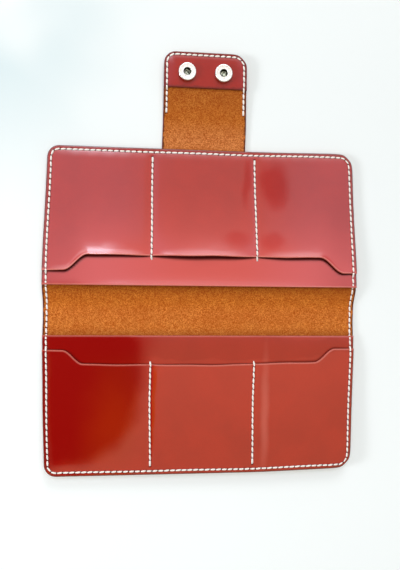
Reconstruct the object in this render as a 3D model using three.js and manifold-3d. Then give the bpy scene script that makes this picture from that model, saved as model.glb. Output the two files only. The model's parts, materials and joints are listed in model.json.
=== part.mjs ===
// A hand-stitched leather travel document holder, lying open on a table with its pockets up.
// Millimetres. +Z is up, +X runs across the pockets and +Y points from the fold to the closing strap.
// Every piece is drawn in one flat layout, whose origin is the middle of the fold on the cover's
// outer face. The creases then turn what lies beyond them, so that the snaps' metal parts, which
// stand out under the leather, just meet the table.

import * as THREE from 'three';
import { mergeVertices } from 'three/addons/utils/BufferGeometryUtils.js';
import Module from 'manifold-3d';

const wasm = await Module();
wasm.setup();

// Leather
const coverThickness = 2.0;
const pocketThickness = 1.2;
const liningThickness = 1.2;
const layerGap = 0.1; // between two pieces that lie on each other

// Cover and pockets
const panelWidth = 218;
const foldToEdge = 113.5; // middle of the fold to the outer edge of either half
const panelCornerRadius = 8;
const spineWidth = 35; // bare flesh side between the two back pockets
const spineWaist = 0.8; // how far each side is drawn in at the fold
const mouthSetback = 10; // front pocket's mouth behind the back pocket's, at its two ends
const thumbRecess = 10; // how much deeper the front mouth lies in its middle
const recessMargin = 14.5; // side edge to the start of the recess
const recessSweep = 13; // length of the recess's S-curve along the mouth
const compartments = 3; // side by side in each front pocket

// Closing strap, in one piece with the cover
const strapWidth = 57;
const strapLength = 68.2; // beyond the panel's edge
const strapCornerRadius = 8;
const strapRoot = 1.2; // panel's edge to the strap's first crease
const liningLength = 25.5;

// Stitching
const stitchPitch = 4.1;
const threadWidth = 1.2;
const threadHeight = 0.45;
const threadWaist = 0.55; // width where the thread enters a hole
const threadLift = 0.05; // under a stitch
const seamInset = 2.7; // panel's edge to its seam
const strapSeamInset = 2.1;
const seamFromCrease = 1.6; // a crease of the fold to the nearest hole beyond it
const strapSeamLength = 42.5; // strap's tip to either end of its seam
const dividerStart = 5.9; // outer edge to a divider seam's first hole
const dividerOverrun = 1.2; // last stitch beyond the pocket's mouth

// Creases. The fold and the strap's bend have two each, with a strip of leather between them.
const creaseGap = 0.3; // slot at a crease
const closingClearance = 1.7; // each half's stitches to the middle of the closed holder

// Snap fasteners
const snapSpacing = 25.6;
const snapFromTip = 14.3;
const socketRadius = 6.25;
const socketHeight = 3.0;
const socketMouthRadius = 2.65;
const socketBoreRadius = 3.1;
const socketGrooveRadius = 4.3; // round the spring
const socketFloor = 0.5;
const socketLip = 0.45;
const springWireRadius = 0.3;
const studBaseRadius = 5.5;
const studBaseHeight = 0.8;
const mouthClearance = 0.35; // stud's bulb to the socket's mouth
const bulbRise = 0.4; // bulb's radius above the neck's
const snapClearance = 0.3; // socket's face to the stud's base, when snapped
const rivetHeadRadius = 4.5;
const rivetHeadThickness = 0.4;
const rivetRadius = 1.1;
const capRadius = 6.2;
const capHeight = 2.2;
const capPostRadius = 1.6;
const clinchThickness = 0.25;
const runningGap = 0.15; // between metal parts that fit into each other
const holeGap = 0.3; // round a post, in leather and metal
const floorGap = 0.02; // under the metal parts that meet the table

// Heights in the flat layout
const creaseHeight = coverThickness / 2;
const backPocketBase = coverThickness + layerGap;
const backPocketTop = backPocketBase + pocketThickness;
const frontPocketBase = backPocketTop + layerGap;
const frontPocketTop = frontPocketBase + pocketThickness;
const liningBase = coverThickness + layerGap;
const liningTop = liningBase + liningThickness;
const socketBase = liningTop + layerGap;
const capClinchTop = socketBase + socketFloor + layerGap + clinchThickness;

// Places along the flat layout, from the middle of the fold
const backMouth = spineWidth / 2;
const frontMouthEnds = backMouth + mouthSetback;
const frontMouthMiddle = frontMouthEnds + thumbRecess;
const strapTip = foldToEdge + strapLength;
const socketPlace = strapTip - snapFromTip;

// The snapped socket holds the stud's bulb behind its spring
const springInset = socketLip + springWireRadius + runningGap; // under the socket's face
const studToLining = layerGap + studBaseHeight + snapClearance + socketHeight + layerGap;
const springFromPanel = layerGap + studBaseHeight + snapClearance + springInset;
const studNeckTop = springFromPanel + springWireRadius + runningGap;
const rivetTop = studToLining - (capClinchTop - liningTop) - runningGap;
const studTop = rivetTop - clinchThickness - layerGap / 2;
const bulbRadius = socketMouthRadius - mouthClearance;
const neckRadius = bulbRadius - bulbRise;
const springHalfGap = neckRadius + runningGap + springWireRadius;

// Every crease turns by a quarter turn from flat to closed, so that the strip between two creases
// stands upright in the closed holder and is as wide as the bend is high
const halfClosed = frontPocketTop + threadLift + threadHeight + closingClearance;
const foldStrip = 2 * (halfClosed - creaseHeight);
const strapStrip = 2 * halfClosed + studToLining + liningTop - 2 * creaseHeight;
const foldCreases = [foldStrip / 2, -foldStrip / 2];
const strapCreases = [foldToEdge + strapRoot, foldToEdge + strapRoot + strapStrip];

// Closed, the strap runs back from its first crease, and the socket meets its stud there
const studPlace = strapCreases[0] - (socketPlace - strapCreases[1]);

const leatherFinish = new THREE.MeshStandardMaterial({ color: 0xa03a30, roughness: 0.35 });
const coverFinish = new THREE.MeshStandardMaterial({ color: 0xb8692f, roughness: 0.9 });
const threadFinish = new THREE.MeshStandardMaterial({ color: 0xf4ecdc, roughness: 0.7 });
const metalFinish = new THREE.MeshStandardMaterial({ color: 0xc9c9c6, roughness: 0.25, metalness: 1 });

// Points of an arc in the plan, its ends included
function arc(centreX, centreY, radius, fromDegrees, toDegrees, steps = 8) {
  return Array.from({ length: steps + 1 }, (_, i) => {
    const angle = THREE.MathUtils.degToRad(fromDegrees + ((toDegrees - fromDegrees) * i) / steps);
    return [centreX + radius * Math.cos(angle), centreY + radius * Math.sin(angle)];
  });
}

// Points of an S-curve that leaves and arrives along X, its ends included
function sCurve(fromX, fromY, toX, toY, steps = 12) {
  return Array.from({ length: steps + 1 }, (_, i) => {
    const way = i / steps;
    const swing = (1 - Math.cos(Math.PI * way)) / 2;
    return [THREE.MathUtils.lerp(fromX, toX, way), THREE.MathUtils.lerp(fromY, toY, swing)];
  });
}

// Points where the cover's side is drawn in towards the fold, which it leaves and meets along Y
function waist(fromX, fromY, toX, toY) {
  return sCurve(fromY, fromX, toY, toX, 6).map(([y, x]) => [x, y]);
}

// A flat plate over an outline in the plan
function plate(outline, base, thickness) {
  const shape = new THREE.Shape(outline.map(([x, y]) => new THREE.Vector2(x, y)));
  const geometry = new THREE.ExtrudeGeometry(shape, { depth: thickness, bevelEnabled: false });
  return geometry.translate(0, 0, base);
}

// A bar across the whole width, over a section of [y, z] points
function barAcross(section, width) {
  const shape = new THREE.Shape(section.map(([y, z]) => new THREE.Vector2(y, z)));
  const geometry = new THREE.ExtrudeGeometry(shape, { depth: width, bevelEnabled: false });
  const alongX = new THREE.Matrix4().makeBasis(
    new THREE.Vector3(0, 1, 0),
    new THREE.Vector3(0, 0, 1),
    new THREE.Vector3(1, 0, 0),
  );
  return geometry.applyMatrix4(alongX).translate(-width / 2, 0, 0);
}

// A round part turned about a vertical axis, over a profile of [radius, height] points
function turned(profile, x, y, segments = 24) {
  const points = profile.map(([radius, height]) => new THREE.Vector2(radius, height));
  const geometry = new THREE.LatheGeometry(points, segments);
  return geometry.rotateX(Math.PI / 2).translate(x, y, 0);
}

function hole(x, y, radius, base, top) {
  const geometry = new THREE.CylinderGeometry(radius, radius, top - base, 24);
  return geometry.rotateX(Math.PI / 2).translate(x, y, (base + top) / 2);
}

function solid(geometry) {
  const positions = geometry.clone();
  positions.deleteAttribute('normal');
  positions.deleteAttribute('uv');
  const merged = mergeVertices(positions, 1e-4);
  return new wasm.Manifold(
    new wasm.Mesh({
      numProp: 3,
      vertProperties: new Float32Array(merged.attributes.position.array),
      triVerts: new Uint32Array(merged.index.array),
    }),
  );
}

function geometryOf(manifold) {
  const mesh = manifold.getMesh();
  const geometry = new THREE.BufferGeometry();
  geometry.setAttribute('position', new THREE.BufferAttribute(mesh.vertProperties, 3));
  geometry.setIndex(new THREE.BufferAttribute(mesh.triVerts, 1));
  return geometry;
}

function cut(geometry, tools) {
  return geometryOf(tools.reduce((left, tool) => left.subtract(solid(tool)), solid(geometry)));
}

function piece(name, geometry, material) {
  const drawn = geometry.index ? geometry.toNonIndexed() : geometry;
  drawn.computeVertexNormals();
  const mesh = new THREE.Mesh(drawn, material);
  mesh.name = name;
  return mesh;
}

// The groups that carry the pieces beyond each crease, drawn in the flat layout all the same
function creaseGroups(parent, creases, turn) {
  let carrier = parent;
  return creases.map((place) => {
    const hinge = new THREE.Group();
    hinge.position.set(0, place, creaseHeight);
    hinge.rotation.x = turn;
    const beyond = new THREE.Group();
    beyond.position.set(0, -place, -creaseHeight);
    hinge.add(beyond);
    carrier.add(hinge);
    carrier = beyond;
    return beyond;
  });
}

// Where a point of the flat layout goes when every crease before it turns alike
function bent([y, z], creases, turn) {
  return creases.reduceRight(
    ([atY, atZ], place) => {
      const alongY = atY - place;
      const alongZ = atZ - creaseHeight;
      return [
        place + alongY * Math.cos(turn) - alongZ * Math.sin(turn),
        creaseHeight + alongY * Math.sin(turn) + alongZ * Math.cos(turn),
      ];
    },
    [y, z],
  );
}

// The turn at each crease that brings the lowest of some points down to the table
function restingTurn(lowPoints, creases, sense) {
  const lowest = (turn) =>
    Math.min(...lowPoints.map((point) => bent(point, creases, sense * turn)[1]));
  let [low, high] = [0, Math.PI / 4];
  for (let halving = 0; halving < 40; halving += 1) {
    const middle = (low + high) / 2;
    if (lowest(middle) < floorGap) low = middle;
    else high = middle;
  }
  return sense * high;
}

// Both sides of a round part that hangs under the leather at one place
function undersidePoints(profile, place) {
  return profile.flatMap(([radius, height]) => [
    [place - radius, height],
    [place + radius, height],
  ]);
}

// Cover: one piece of leather, outer edge of the lower half to the tip of the strap
function coverOutline() {
  const side = panelWidth / 2;
  const strapSide = strapWidth / 2;
  const drawnIn = side - spineWaist;
  const waistStart = foldCreases[0] + creaseGap;
  const cornerX = side - panelCornerRadius;
  const cornerY = foldToEdge - panelCornerRadius;
  const tipX = strapSide - strapCornerRadius;
  const tipY = strapTip - strapCornerRadius;
  return [
    ...arc(-cornerX, -cornerY, panelCornerRadius, 180, 270),
    ...arc(cornerX, -cornerY, panelCornerRadius, 270, 360),
    ...waist(side, -backMouth, drawnIn, -waistStart),
    ...waist(drawnIn, waistStart, side, backMouth),
    ...arc(cornerX, cornerY, panelCornerRadius, 0, 90),
    [strapSide, foldToEdge],
    ...arc(tipX, tipY, strapCornerRadius, 0, 90),
    ...arc(-tipX, tipY, strapCornerRadius, 90, 180),
    [-strapSide, foldToEdge],
    ...arc(-cornerX, cornerY, panelCornerRadius, 90, 180),
    ...waist(-side, backMouth, -drawnIn, waistStart),
    ...waist(-drawnIn, -waistStart, -side, -backMouth),
  ];
}

// A slot at one crease. Above the crease both sides lean back by 45 degrees, so that they meet no
// sooner than fully closed.
function creaseSlot(place) {
  const below = -1;
  const above = coverThickness + 1;
  const half = creaseGap / 2;
  const opened = half + above - creaseHeight;
  const section = [
    [place - half, below],
    [place + half, below],
    [place + half, creaseHeight],
    [place + opened, above],
    [place - opened, above],
    [place - half, creaseHeight],
  ];
  return barAcross(section, panelWidth + 2);
}

function snapPlaces() {
  return [
    { side: 'left', x: -snapSpacing / 2 },
    { side: 'right', x: snapSpacing / 2 },
  ];
}

function coverPieces() {
  const slots = [...foldCreases, ...strapCreases].map(creaseSlot);
  const rivetSeat = coverThickness - rivetHeadThickness - layerGap;
  const snapHoles = snapPlaces().flatMap(({ x }) => [
    hole(x, -studPlace, rivetRadius + holeGap, -1, coverThickness + 1),
    hole(x, -studPlace, rivetHeadRadius + holeGap, rivetSeat, coverThickness + 1),
    hole(x, socketPlace, capPostRadius + holeGap, -1, coverThickness + 1),
  ]);
  const whole = solid(cut(plate(coverOutline(), 0, coverThickness), [...slots, ...snapHoles]));
  const between = (from, to) => {
    const section = [
      [from, -1],
      [to, -1],
      [to, coverThickness + 1],
      [from, coverThickness + 1],
    ];
    return geometryOf(whole.intersect(solid(barAcross(section, panelWidth + 2))));
  };
  return {
    lower: between(-foldToEdge - 1, foldCreases[1]),
    spine: between(foldCreases[1], foldCreases[0]),
    upper: between(foldCreases[0], strapCreases[0]),
    bend: between(strapCreases[0], strapCreases[1]),
    tip: between(strapCreases[1], strapTip + 1),
  };
}

// Pockets, drawn for the upper half and mirrored for the lower one
function pocketOutline(mouth, half) {
  const side = panelWidth / 2;
  const cornerX = side - panelCornerRadius;
  const cornerY = foldToEdge - panelCornerRadius;
  return [
    ...mouth,
    ...arc(cornerX, cornerY, panelCornerRadius, 0, 90),
    ...arc(-cornerX, cornerY, panelCornerRadius, 90, 180),
  ].map(([x, y]) => [x, half * y]);
}

function backPocket(half) {
  const side = panelWidth / 2;
  const mouth = [
    [-side, backMouth],
    [side, backMouth],
  ];
  return plate(pocketOutline(mouth, half), backPocketBase, pocketThickness);
}

function frontPocket(half) {
  const side = panelWidth / 2;
  const start = side - recessMargin;
  const end = start - recessSweep;
  const mouth = [
    [-side, frontMouthEnds],
    ...sCurve(-start, frontMouthEnds, -end, frontMouthMiddle),
    ...sCurve(end, frontMouthMiddle, start, frontMouthEnds),
    [side, frontMouthEnds],
  ];
  return plate(pocketOutline(mouth, half), frontPocketBase, pocketThickness);
}

// A seam seen from the pockets' side: one thread that swells at each stitch and narrows at each hole.
// levels lists where along the path the thread climbs, and to which height.
function seam(path, levels) {
  const length = path.getLength();
  const stitches = Math.round(length / stitchPitch);
  const pitch = length / stitches;
  const sections = 2;
  const places = Array.from({ length: stitches * sections + 1 }, (_, i) => (i * pitch) / sections);
  const climbs = levels.flatMap(({ from, to }) => [from, to]);
  const clearOfClimbs = places.filter((place) => climbs.every((climb) => Math.abs(climb - place) > 0.1));
  const rings = [...clearOfClimbs, ...climbs]
    .filter((place) => place >= 0 && place <= length)
    .sort((a, b) => a - b)
    .map((place) => {
      const swell = Math.sqrt(Math.abs(Math.sin((Math.PI * place) / pitch)));
      const base = heightAlong(levels, place) + threadLift;
      const half = THREE.MathUtils.lerp(threadWaist, threadWidth, swell) / 2;
      const top = base + THREE.MathUtils.lerp(threadHeight / 2, threadHeight, swell);
      const centre = path.getPointAt(place / length);
      const tangent = path.getTangentAt(place / length);
      return [
        [-half, base],
        [half, base],
        [half * 0.6, top],
        [-half * 0.6, top],
      ].map(([across, z]) => [centre.x + across * tangent.y, centre.y - across * tangent.x, z]);
    });
  return tubeOf(rings);
}

function heightAlong(levels, place) {
  return levels.reduce((height, level) => {
    const way = THREE.MathUtils.clamp((place - level.from) / Math.max(level.to - level.from, 1e-6), 0, 1);
    return THREE.MathUtils.lerp(height, level.height, way);
  }, levels[0].height);
}

// A closed tube through rings of four points
function tubeOf(rings) {
  const corners = 4;
  const last = (rings.length - 1) * corners;
  const faces = [
    [0, 1, 2],
    [0, 2, 3],
    [last, last + 2, last + 1],
    [last, last + 3, last + 2],
  ];
  for (let ring = 0; ring < rings.length - 1; ring += 1) {
    for (let corner = 0; corner < corners; corner += 1) {
      const here = ring * corners + corner;
      const beside = ring * corners + ((corner + 1) % corners);
      faces.push([here, here + corners, beside + corners], [here, beside + corners, beside]);
    }
  }
  const geometry = new THREE.BufferGeometry();
  geometry.setAttribute('position', new THREE.Float32BufferAttribute(rings.flat(2), 3));
  geometry.setIndex(faces.flat());
  return geometry;
}

// The seam round one half, from the fold on the left, along the outer edge and back to the fold
function perimeterSeam(half) {
  const side = panelWidth / 2 - seamInset;
  const edge = foldToEdge - seamInset;
  const radius = panelCornerRadius - seamInset;
  const start = foldCreases[0] + seamFromCrease;
  const onSpine = Math.hypot(spineWaist, backMouth - start);
  const corner = half > 0 ? [180, 90, 0] : [180, 270, 360];
  const path = new THREE.Path();
  path.moveTo(spineWaist - side, half * start);
  path.lineTo(-side, half * backMouth);
  path.lineTo(-side, half * (edge - radius));
  const turn = (x, from, to) => {
    const [begin, end] = [from, to].map(THREE.MathUtils.degToRad);
    path.absarc(x, half * (edge - radius), radius, begin, end, half > 0);
  };
  turn(radius - side, corner[0], corner[1]);
  turn(side - radius, corner[1], corner[2]);
  path.lineTo(side, half * backMouth);
  path.lineTo(side - spineWaist, half * start);

  // The thread climbs just before each pocket's mouth and comes down just after it
  const length = path.getLength();
  const climb = threadWidth / 2;
  const beforeMouth = (mouth) => onSpine + mouth - backMouth - threadHeight;
  const up = (mouth, height) => {
    const to = beforeMouth(mouth);
    return { from: to - climb, to, height };
  };
  const down = (mouth, height) => {
    const from = length - beforeMouth(mouth);
    return { from, to: from + climb, height };
  };
  return seam(path, [
    { from: 0, to: 0, height: coverThickness },
    up(backMouth, backPocketTop),
    up(frontMouthEnds, frontPocketTop),
    down(frontMouthEnds, backPocketTop),
    down(backMouth, coverThickness),
  ]);
}

// A seam that divides a front pocket, from its outer end to a stitch over the mouth's edge
function dividerSeam(x, half) {
  const start = foldToEdge - dividerStart;
  const end = frontMouthMiddle - dividerOverrun - threadHeight;
  const path = new THREE.Path();
  path.moveTo(x, half * start);
  path.lineTo(x, half * end);
  const overEdge = start - frontMouthMiddle + threadHeight;
  return seam(path, [
    { from: 0, to: 0, height: frontPocketTop },
    { from: overEdge, to: start - end, height: backPocketTop },
  ]);
}

// The seam round the strap's tip, through the lining
function strapSeam() {
  const side = strapWidth / 2 - strapSeamInset;
  const tip = strapTip - strapSeamInset;
  const radius = strapCornerRadius - strapSeamInset;
  const start = strapTip - strapSeamLength;
  const path = new THREE.Path();
  path.moveTo(-side, start);
  path.lineTo(-side, tip - radius);
  path.absarc(radius - side, tip - radius, radius, Math.PI, Math.PI / 2, true);
  path.absarc(side - radius, tip - radius, radius, Math.PI / 2, 0, true);
  path.lineTo(side, start);
  const length = path.getLength();
  const climb = threadWidth / 2;
  const onLining = strapTip - liningLength - start - threadHeight;
  return seam(path, [
    { from: 0, to: 0, height: coverThickness },
    { from: onLining - climb, to: onLining, height: liningTop },
    { from: length - onLining, to: length - onLining + climb, height: coverThickness },
  ]);
}

function strapLining() {
  const side = strapWidth / 2;
  const tipX = side - strapCornerRadius;
  const tipY = strapTip - strapCornerRadius;
  const outline = [
    [-side, strapTip - liningLength],
    [side, strapTip - liningLength],
    ...arc(tipX, tipY, strapCornerRadius, 0, 90),
    ...arc(-tipX, tipY, strapCornerRadius, 90, 180),
  ];
  const holes = snapPlaces().map(({ x }) =>
    hole(x, socketPlace, capPostRadius + holeGap, liningBase - 1, liningTop + 1),
  );
  return cut(plate(outline, liningBase, liningThickness), holes);
}

// Socket: a ring with a rolled face, open to the stud, and a groove inside for the spring
function socketProfile() {
  const face = socketBase + socketHeight;
  const floor = socketBase + socketFloor;
  const grooveTop = face - socketLip;
  const grooveBase = grooveTop - 2 * (springWireRadius + runningGap);
  const rim = (socketRadius - socketMouthRadius) / 4;
  const roll = 0.3;
  return [
    [capPostRadius + holeGap, socketBase],
    [socketRadius - roll, socketBase],
    [socketRadius, socketBase + roll],
    [socketRadius, face - roll],
    [socketRadius - rim * 0.4, face],
    [socketRadius - rim, face],
    [socketRadius - 2 * rim, face - roll],
    [socketMouthRadius + rim, face],
    [socketMouthRadius + rim * 0.4, face],
    [socketMouthRadius, face - roll / 2],
    [socketMouthRadius, grooveTop],
    [socketGrooveRadius, grooveTop],
    [socketGrooveRadius, grooveBase],
    [socketBoreRadius, grooveBase],
    [socketBoreRadius, floor],
    [capPostRadius + holeGap, floor],
    [capPostRadius + holeGap, socketBase],
  ];
}

// Spring: a bent wire in the socket's groove, whose two legs close behind the stud's bulb
function socketSpring(x) {
  const level = socketBase + socketHeight - springInset;
  const bend = socketGrooveRadius - springWireRadius - runningGap;
  const legs = Math.sqrt(bend ** 2 - springHalfGap ** 2);
  const from = THREE.MathUtils.radToDeg(Math.atan2(legs, -springHalfGap));
  const arch = arc(0, 0, bend, from, 180 - from, 8);
  const points = [[-springHalfGap, -legs], [-springHalfGap, 0], ...arch];
  points.push([springHalfGap, 0], [springHalfGap, -legs]);
  const curve = new THREE.CatmullRomCurve3(
    points.map(([across, along]) => new THREE.Vector3(x + across, socketPlace + along, level)),
  );
  const wire = new THREE.Shape(
    arc(0, 0, springWireRadius, 0, 360, 6)
      .slice(0, -1)
      .map(([across, up]) => new THREE.Vector2(across, up)),
  );
  return new THREE.ExtrudeGeometry(wire, { steps: 28, extrudePath: curve, bevelEnabled: false });
}

// Cap: a domed head on the strap's outer face, with a post clinched over the socket's floor
function capProfile() {
  const steps = 6;
  const dome = Array.from({ length: steps + 1 }, (_, i) => {
    const angle = (Math.PI / 2) * (i / steps);
    return [capRadius * Math.sin(angle), -layerGap - capHeight * (0.25 + 0.75 * Math.cos(angle))];
  });
  const clinchRadius = (capPostRadius + socketBoreRadius) / 2;
  const clinchBase = capClinchTop - clinchThickness;
  return [
    ...dome,
    [capRadius, -layerGap],
    [capPostRadius, -layerGap],
    [capPostRadius, clinchBase],
    [clinchRadius, clinchBase],
    [clinchRadius, capClinchTop],
    [0, capClinchTop],
  ];
}

// Stud: a base on the cover's outer face, a neck and a bulb, with a bore for the rivet
function studProfile() {
  const bore = rivetRadius + runningGap;
  const baseTop = layerGap + studBaseHeight;
  const bulbMiddle = (studNeckTop + studTop) / 2;
  return [
    [bore, -layerGap],
    [bore, -studTop],
    [(bulbRadius + bore) / 2, -studTop],
    [bulbRadius, -bulbMiddle],
    [neckRadius, -studNeckTop],
    [neckRadius, -baseTop],
    [studBaseRadius - studBaseHeight / 2, -baseTop],
    [studBaseRadius, -layerGap - studBaseHeight / 2],
    [studBaseRadius, -layerGap],
    [bore, -layerGap],
  ];
}

// Rivet: a flat head let into the cover's inner face, a post, and a clinch over the stud's end
function rivetProfile() {
  const headTop = coverThickness;
  const headBase = headTop - rivetHeadThickness;
  const clinchRadius = (rivetRadius + bulbRadius) / 2;
  return [
    [0, -rivetTop],
    [clinchRadius, -rivetTop],
    [clinchRadius, -rivetTop + clinchThickness],
    [rivetRadius, -rivetTop + clinchThickness],
    [rivetRadius, headBase],
    [rivetHeadRadius, headBase],
    [rivetHeadRadius, headTop],
    [0, headTop],
  ];
}

// The holder at rest: the upper half lies flat, the lower half leans on its studs and the strap on its caps
const foldTurn = restingTurn(undersidePoints(rivetProfile(), -studPlace), foldCreases, -1);
const strapTurn = restingTurn(undersidePoints(capProfile(), socketPlace), strapCreases, 1);
const lowerEdgeAtRest = bent([-foldToEdge, 0], foldCreases, foldTurn)[0];
const strapTipAtRest = bent([strapTip, 0], strapCreases, strapTurn)[0];

const holder = new THREE.Group();
const upperHalf = new THREE.Group();
upperHalf.position.y = -(lowerEdgeAtRest + strapTipAtRest) / 2;
holder.add(upperHalf);
const [spine, lowerHalf] = creaseGroups(upperHalf, foldCreases, foldTurn);
const [strapBend, strapEnd] = creaseGroups(upperHalf, strapCreases, strapTurn);

const cover = coverPieces();
upperHalf.add(piece('cover_upper', cover.upper, coverFinish));
spine.add(piece('cover_spine', cover.spine, coverFinish));
lowerHalf.add(piece('cover_lower', cover.lower, coverFinish));
strapBend.add(piece('strap_bend', cover.bend, coverFinish));
strapEnd.add(piece('strap_tip', cover.tip, coverFinish));

for (const { name, half, group } of [
  { name: 'upper', half: 1, group: upperHalf },
  { name: 'lower', half: -1, group: lowerHalf },
]) {
  group.add(piece(`back_pocket_${name}`, backPocket(half), leatherFinish));
  group.add(piece(`front_pocket_${name}`, frontPocket(half), leatherFinish));
  group.add(piece(`perimeter_thread_${name}`, perimeterSeam(half), threadFinish));
  for (let divider = 1; divider < compartments; divider += 1) {
    const x = panelWidth * (divider / compartments - 0.5);
    group.add(piece(`divider_thread_${name}_${divider}`, dividerSeam(x, half), threadFinish));
  }
}

strapEnd.add(piece('strap_lining', strapLining(), leatherFinish));
strapEnd.add(piece('strap_thread', strapSeam(), threadFinish));
for (const { side, x } of snapPlaces()) {
  lowerHalf.add(piece(`stud_${side}`, turned(studProfile(), x, -studPlace), metalFinish));
  lowerHalf.add(piece(`stud_rivet_${side}`, turned(rivetProfile(), x, -studPlace), metalFinish));
  strapEnd.add(piece(`snap_cap_${side}`, turned(capProfile(), x, socketPlace), metalFinish));
  strapEnd.add(piece(`snap_socket_${side}`, turned(socketProfile(), x, socketPlace), metalFinish));
  strapEnd.add(piece(`socket_spring_${side}`, socketSpring(x), metalFinish));
}

export default holder;
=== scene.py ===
# %% [markdown]
# # A hand-stitched leather travel document holder
#
# The holder lies open on a pale table with its pockets up. It is a flat thing, so almost all of its
# character is in its surfaces: polished red leather, a bare napped flesh side, white saddle
# stitches and two nickel snaps. The imported model gives the true sizes and the moving bodies. This
# lesson dresses it, piece by piece; all but the cover and the fold's stitches ride on their bodies.

# %% Load the imported model
import json
import math

import bpy
import numpy as np
from mathutils import Euler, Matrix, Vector
from mathutils.geometry import delaunay_2d_cdt
from mathutils.kdtree import KDTree


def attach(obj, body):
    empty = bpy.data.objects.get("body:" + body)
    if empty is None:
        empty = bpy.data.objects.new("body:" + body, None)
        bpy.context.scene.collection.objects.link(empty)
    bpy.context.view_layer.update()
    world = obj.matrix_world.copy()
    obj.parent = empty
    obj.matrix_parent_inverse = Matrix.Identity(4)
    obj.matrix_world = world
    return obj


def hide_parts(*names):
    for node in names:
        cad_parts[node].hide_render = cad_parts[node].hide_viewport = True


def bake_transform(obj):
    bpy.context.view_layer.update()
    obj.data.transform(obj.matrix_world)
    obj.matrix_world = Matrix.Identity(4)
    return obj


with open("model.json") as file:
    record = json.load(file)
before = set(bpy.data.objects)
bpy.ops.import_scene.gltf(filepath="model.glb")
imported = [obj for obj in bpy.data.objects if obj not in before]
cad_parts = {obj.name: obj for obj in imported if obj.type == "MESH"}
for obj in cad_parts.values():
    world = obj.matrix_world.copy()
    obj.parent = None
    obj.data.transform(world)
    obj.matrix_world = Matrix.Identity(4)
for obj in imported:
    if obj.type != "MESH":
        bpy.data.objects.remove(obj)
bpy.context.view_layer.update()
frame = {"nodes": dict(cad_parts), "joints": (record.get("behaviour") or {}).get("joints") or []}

# %% [markdown]
# ## Sizes
#
# Leather goods are drawn flat, as the maker cuts them. All places below are millimetres in that
# flat layout: X runs across the pockets and Y from the middle of the fold to the strap. The last
# step of every piece then bends the layout to how the holder really lies, so nothing has to be
# worked out twice.

# %% Sizes in the flat layout
SIDE = 109.0
EDGE = 113.5
CORNER = 8.0
# how far each side is drawn in at the fold, and up to which distance from it in full
WAIST = 0.35
WAIST_REACH = 6.1
BACK_MOUTH = 17.5
FRONT_MOUTH = 27.5
FRONT_MIDDLE = 37.5
# where the mouths' S-curves start and end, on the upper and the lower half, as cut by hand
RECESS = {1: (-95.0, -79.0, 82.2, 99.3), -1: (-95.7, -81.8, 80.0, 95.0)}
DIVIDER = SIDE / 3
BAY = 2 * DIVIDER
STRAP_SIDE = 28.5
STRAP_TIP = 181.7
LINING_EDGE = 157.0

COVER_TOP = 2.0
BACK_TOP = 3.3
FRONT_TOP = 4.6
LINING_TOP = 3.3

FOLD_CREASES = (5.8, -5.8)
STRAP_CREASES = (114.7, 133.9)
CREASE_HEIGHT = 1.0

SNAP_X = 12.8
SOCKET_Y = 167.4
STUD_Y = -81.2
MM = 0.001

# %% [markdown]
# ## From flat to resting
#
# At rest the lower half leans on its two studs and the strap on its two caps, so each crease is
# already turned by a degree or so. The joints in the record say by how much and where. Using them,
# instead of copying numbers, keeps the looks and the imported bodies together.

# %% Bend the flat layout as the holder lies
joints = {joint["name"]: joint for joint in frame["joints"]}
FOLD_TURN = math.radians(joints["holder_fold"]["range_deg"][0])
STRAP_TURN = -math.radians(joints["strap_wrap"]["range_deg"][0])
SHIFT = joints["holder_fold"]["pos_m"][1] / MM - FOLD_CREASES[0]


def ease(way):
    way = np.clip(way, 0, 1)
    return way * way * (3 - 2 * way)


# places along Y, and how far the sides have spread there
SPREAD_END = 113
SPREAD = np.polyfit((-SPREAD_END, -94, -62, -41, -20, -9, 8, 22, 43, 64, 85, SPREAD_END),
                    (-1.6, -1.1, 0.1, 0.8, 1.3, 1.8, 2.3, 2.0, 1.4, 0.9, 0.0, -0.9), 6)
MIDDLE_SPREAD = 0.45
EDGE_DRAWN_IN = 0.9
# size, middle and reach of a bulge, on the right of the upper half and the left of the lower one
BULGES = ((np.maximum, 0.7, 28, 30), (np.minimum, 0.5, -72, 26))
# at its root the strap is wider, and it lies a little to the right
STRAP_WIDER, STRAP_TAPER, STRAP_ASIDE = 1.5, 0.4, 0.4
STRAP_PULL_START, STRAP_PULL = 108.5, 4.5
ASKEW = 1.2
PANEL_WEAR, TIP_WEAR = 1.3, 1.0


def relaxed(x, y):
    """Where handling has left the leather: spread beside the fold and a little out of square."""
    spread, way = np.polyval(SPREAD, np.clip(y, -SPREAD_END, SPREAD_END)), x / SIDE
    panel = spread * way + MIDDLE_SPREAD * np.maximum(spread, 0) * (1 - way * way)
    for one_side, size, middle, reach in BULGES:
        panel += size * one_side(way, 0) * np.exp(-((y - middle) / reach) ** 2)
    root = np.minimum(np.abs(x) / STRAP_SIDE, (SIDE - np.abs(x)) / (SIDE - STRAP_SIDE))
    strap = (STRAP_WIDER - STRAP_TAPER * ease((y - EDGE) / 60)) * np.clip(root * np.sign(x), -1, 1)
    strap += STRAP_ASIDE * ease((y - EDGE) / 20)
    share = ease((y - STRAP_PULL_START) / STRAP_PULL)
    askew = (ASKEW - y / 300) * ease((x - 30) / 80) * ease((np.abs(y) - 70) / 40) * (y < EDGE + 0.5)
    worn = PANEL_WEAR * np.exp(-((x - SIDE) ** 2 + (np.abs(y) - EDGE) ** 2) / 60)
    worn += TIP_WEAR * np.exp(-((x - STRAP_SIDE) ** 2 + (y - STRAP_TIP) ** 2) / 40)
    wider = np.where(y > SPREAD_END, strap - EDGE_DRAWN_IN * x / SIDE, panel + share * strap)
    return x + wider - worn, y + askew - worn * np.sign(y)


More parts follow.
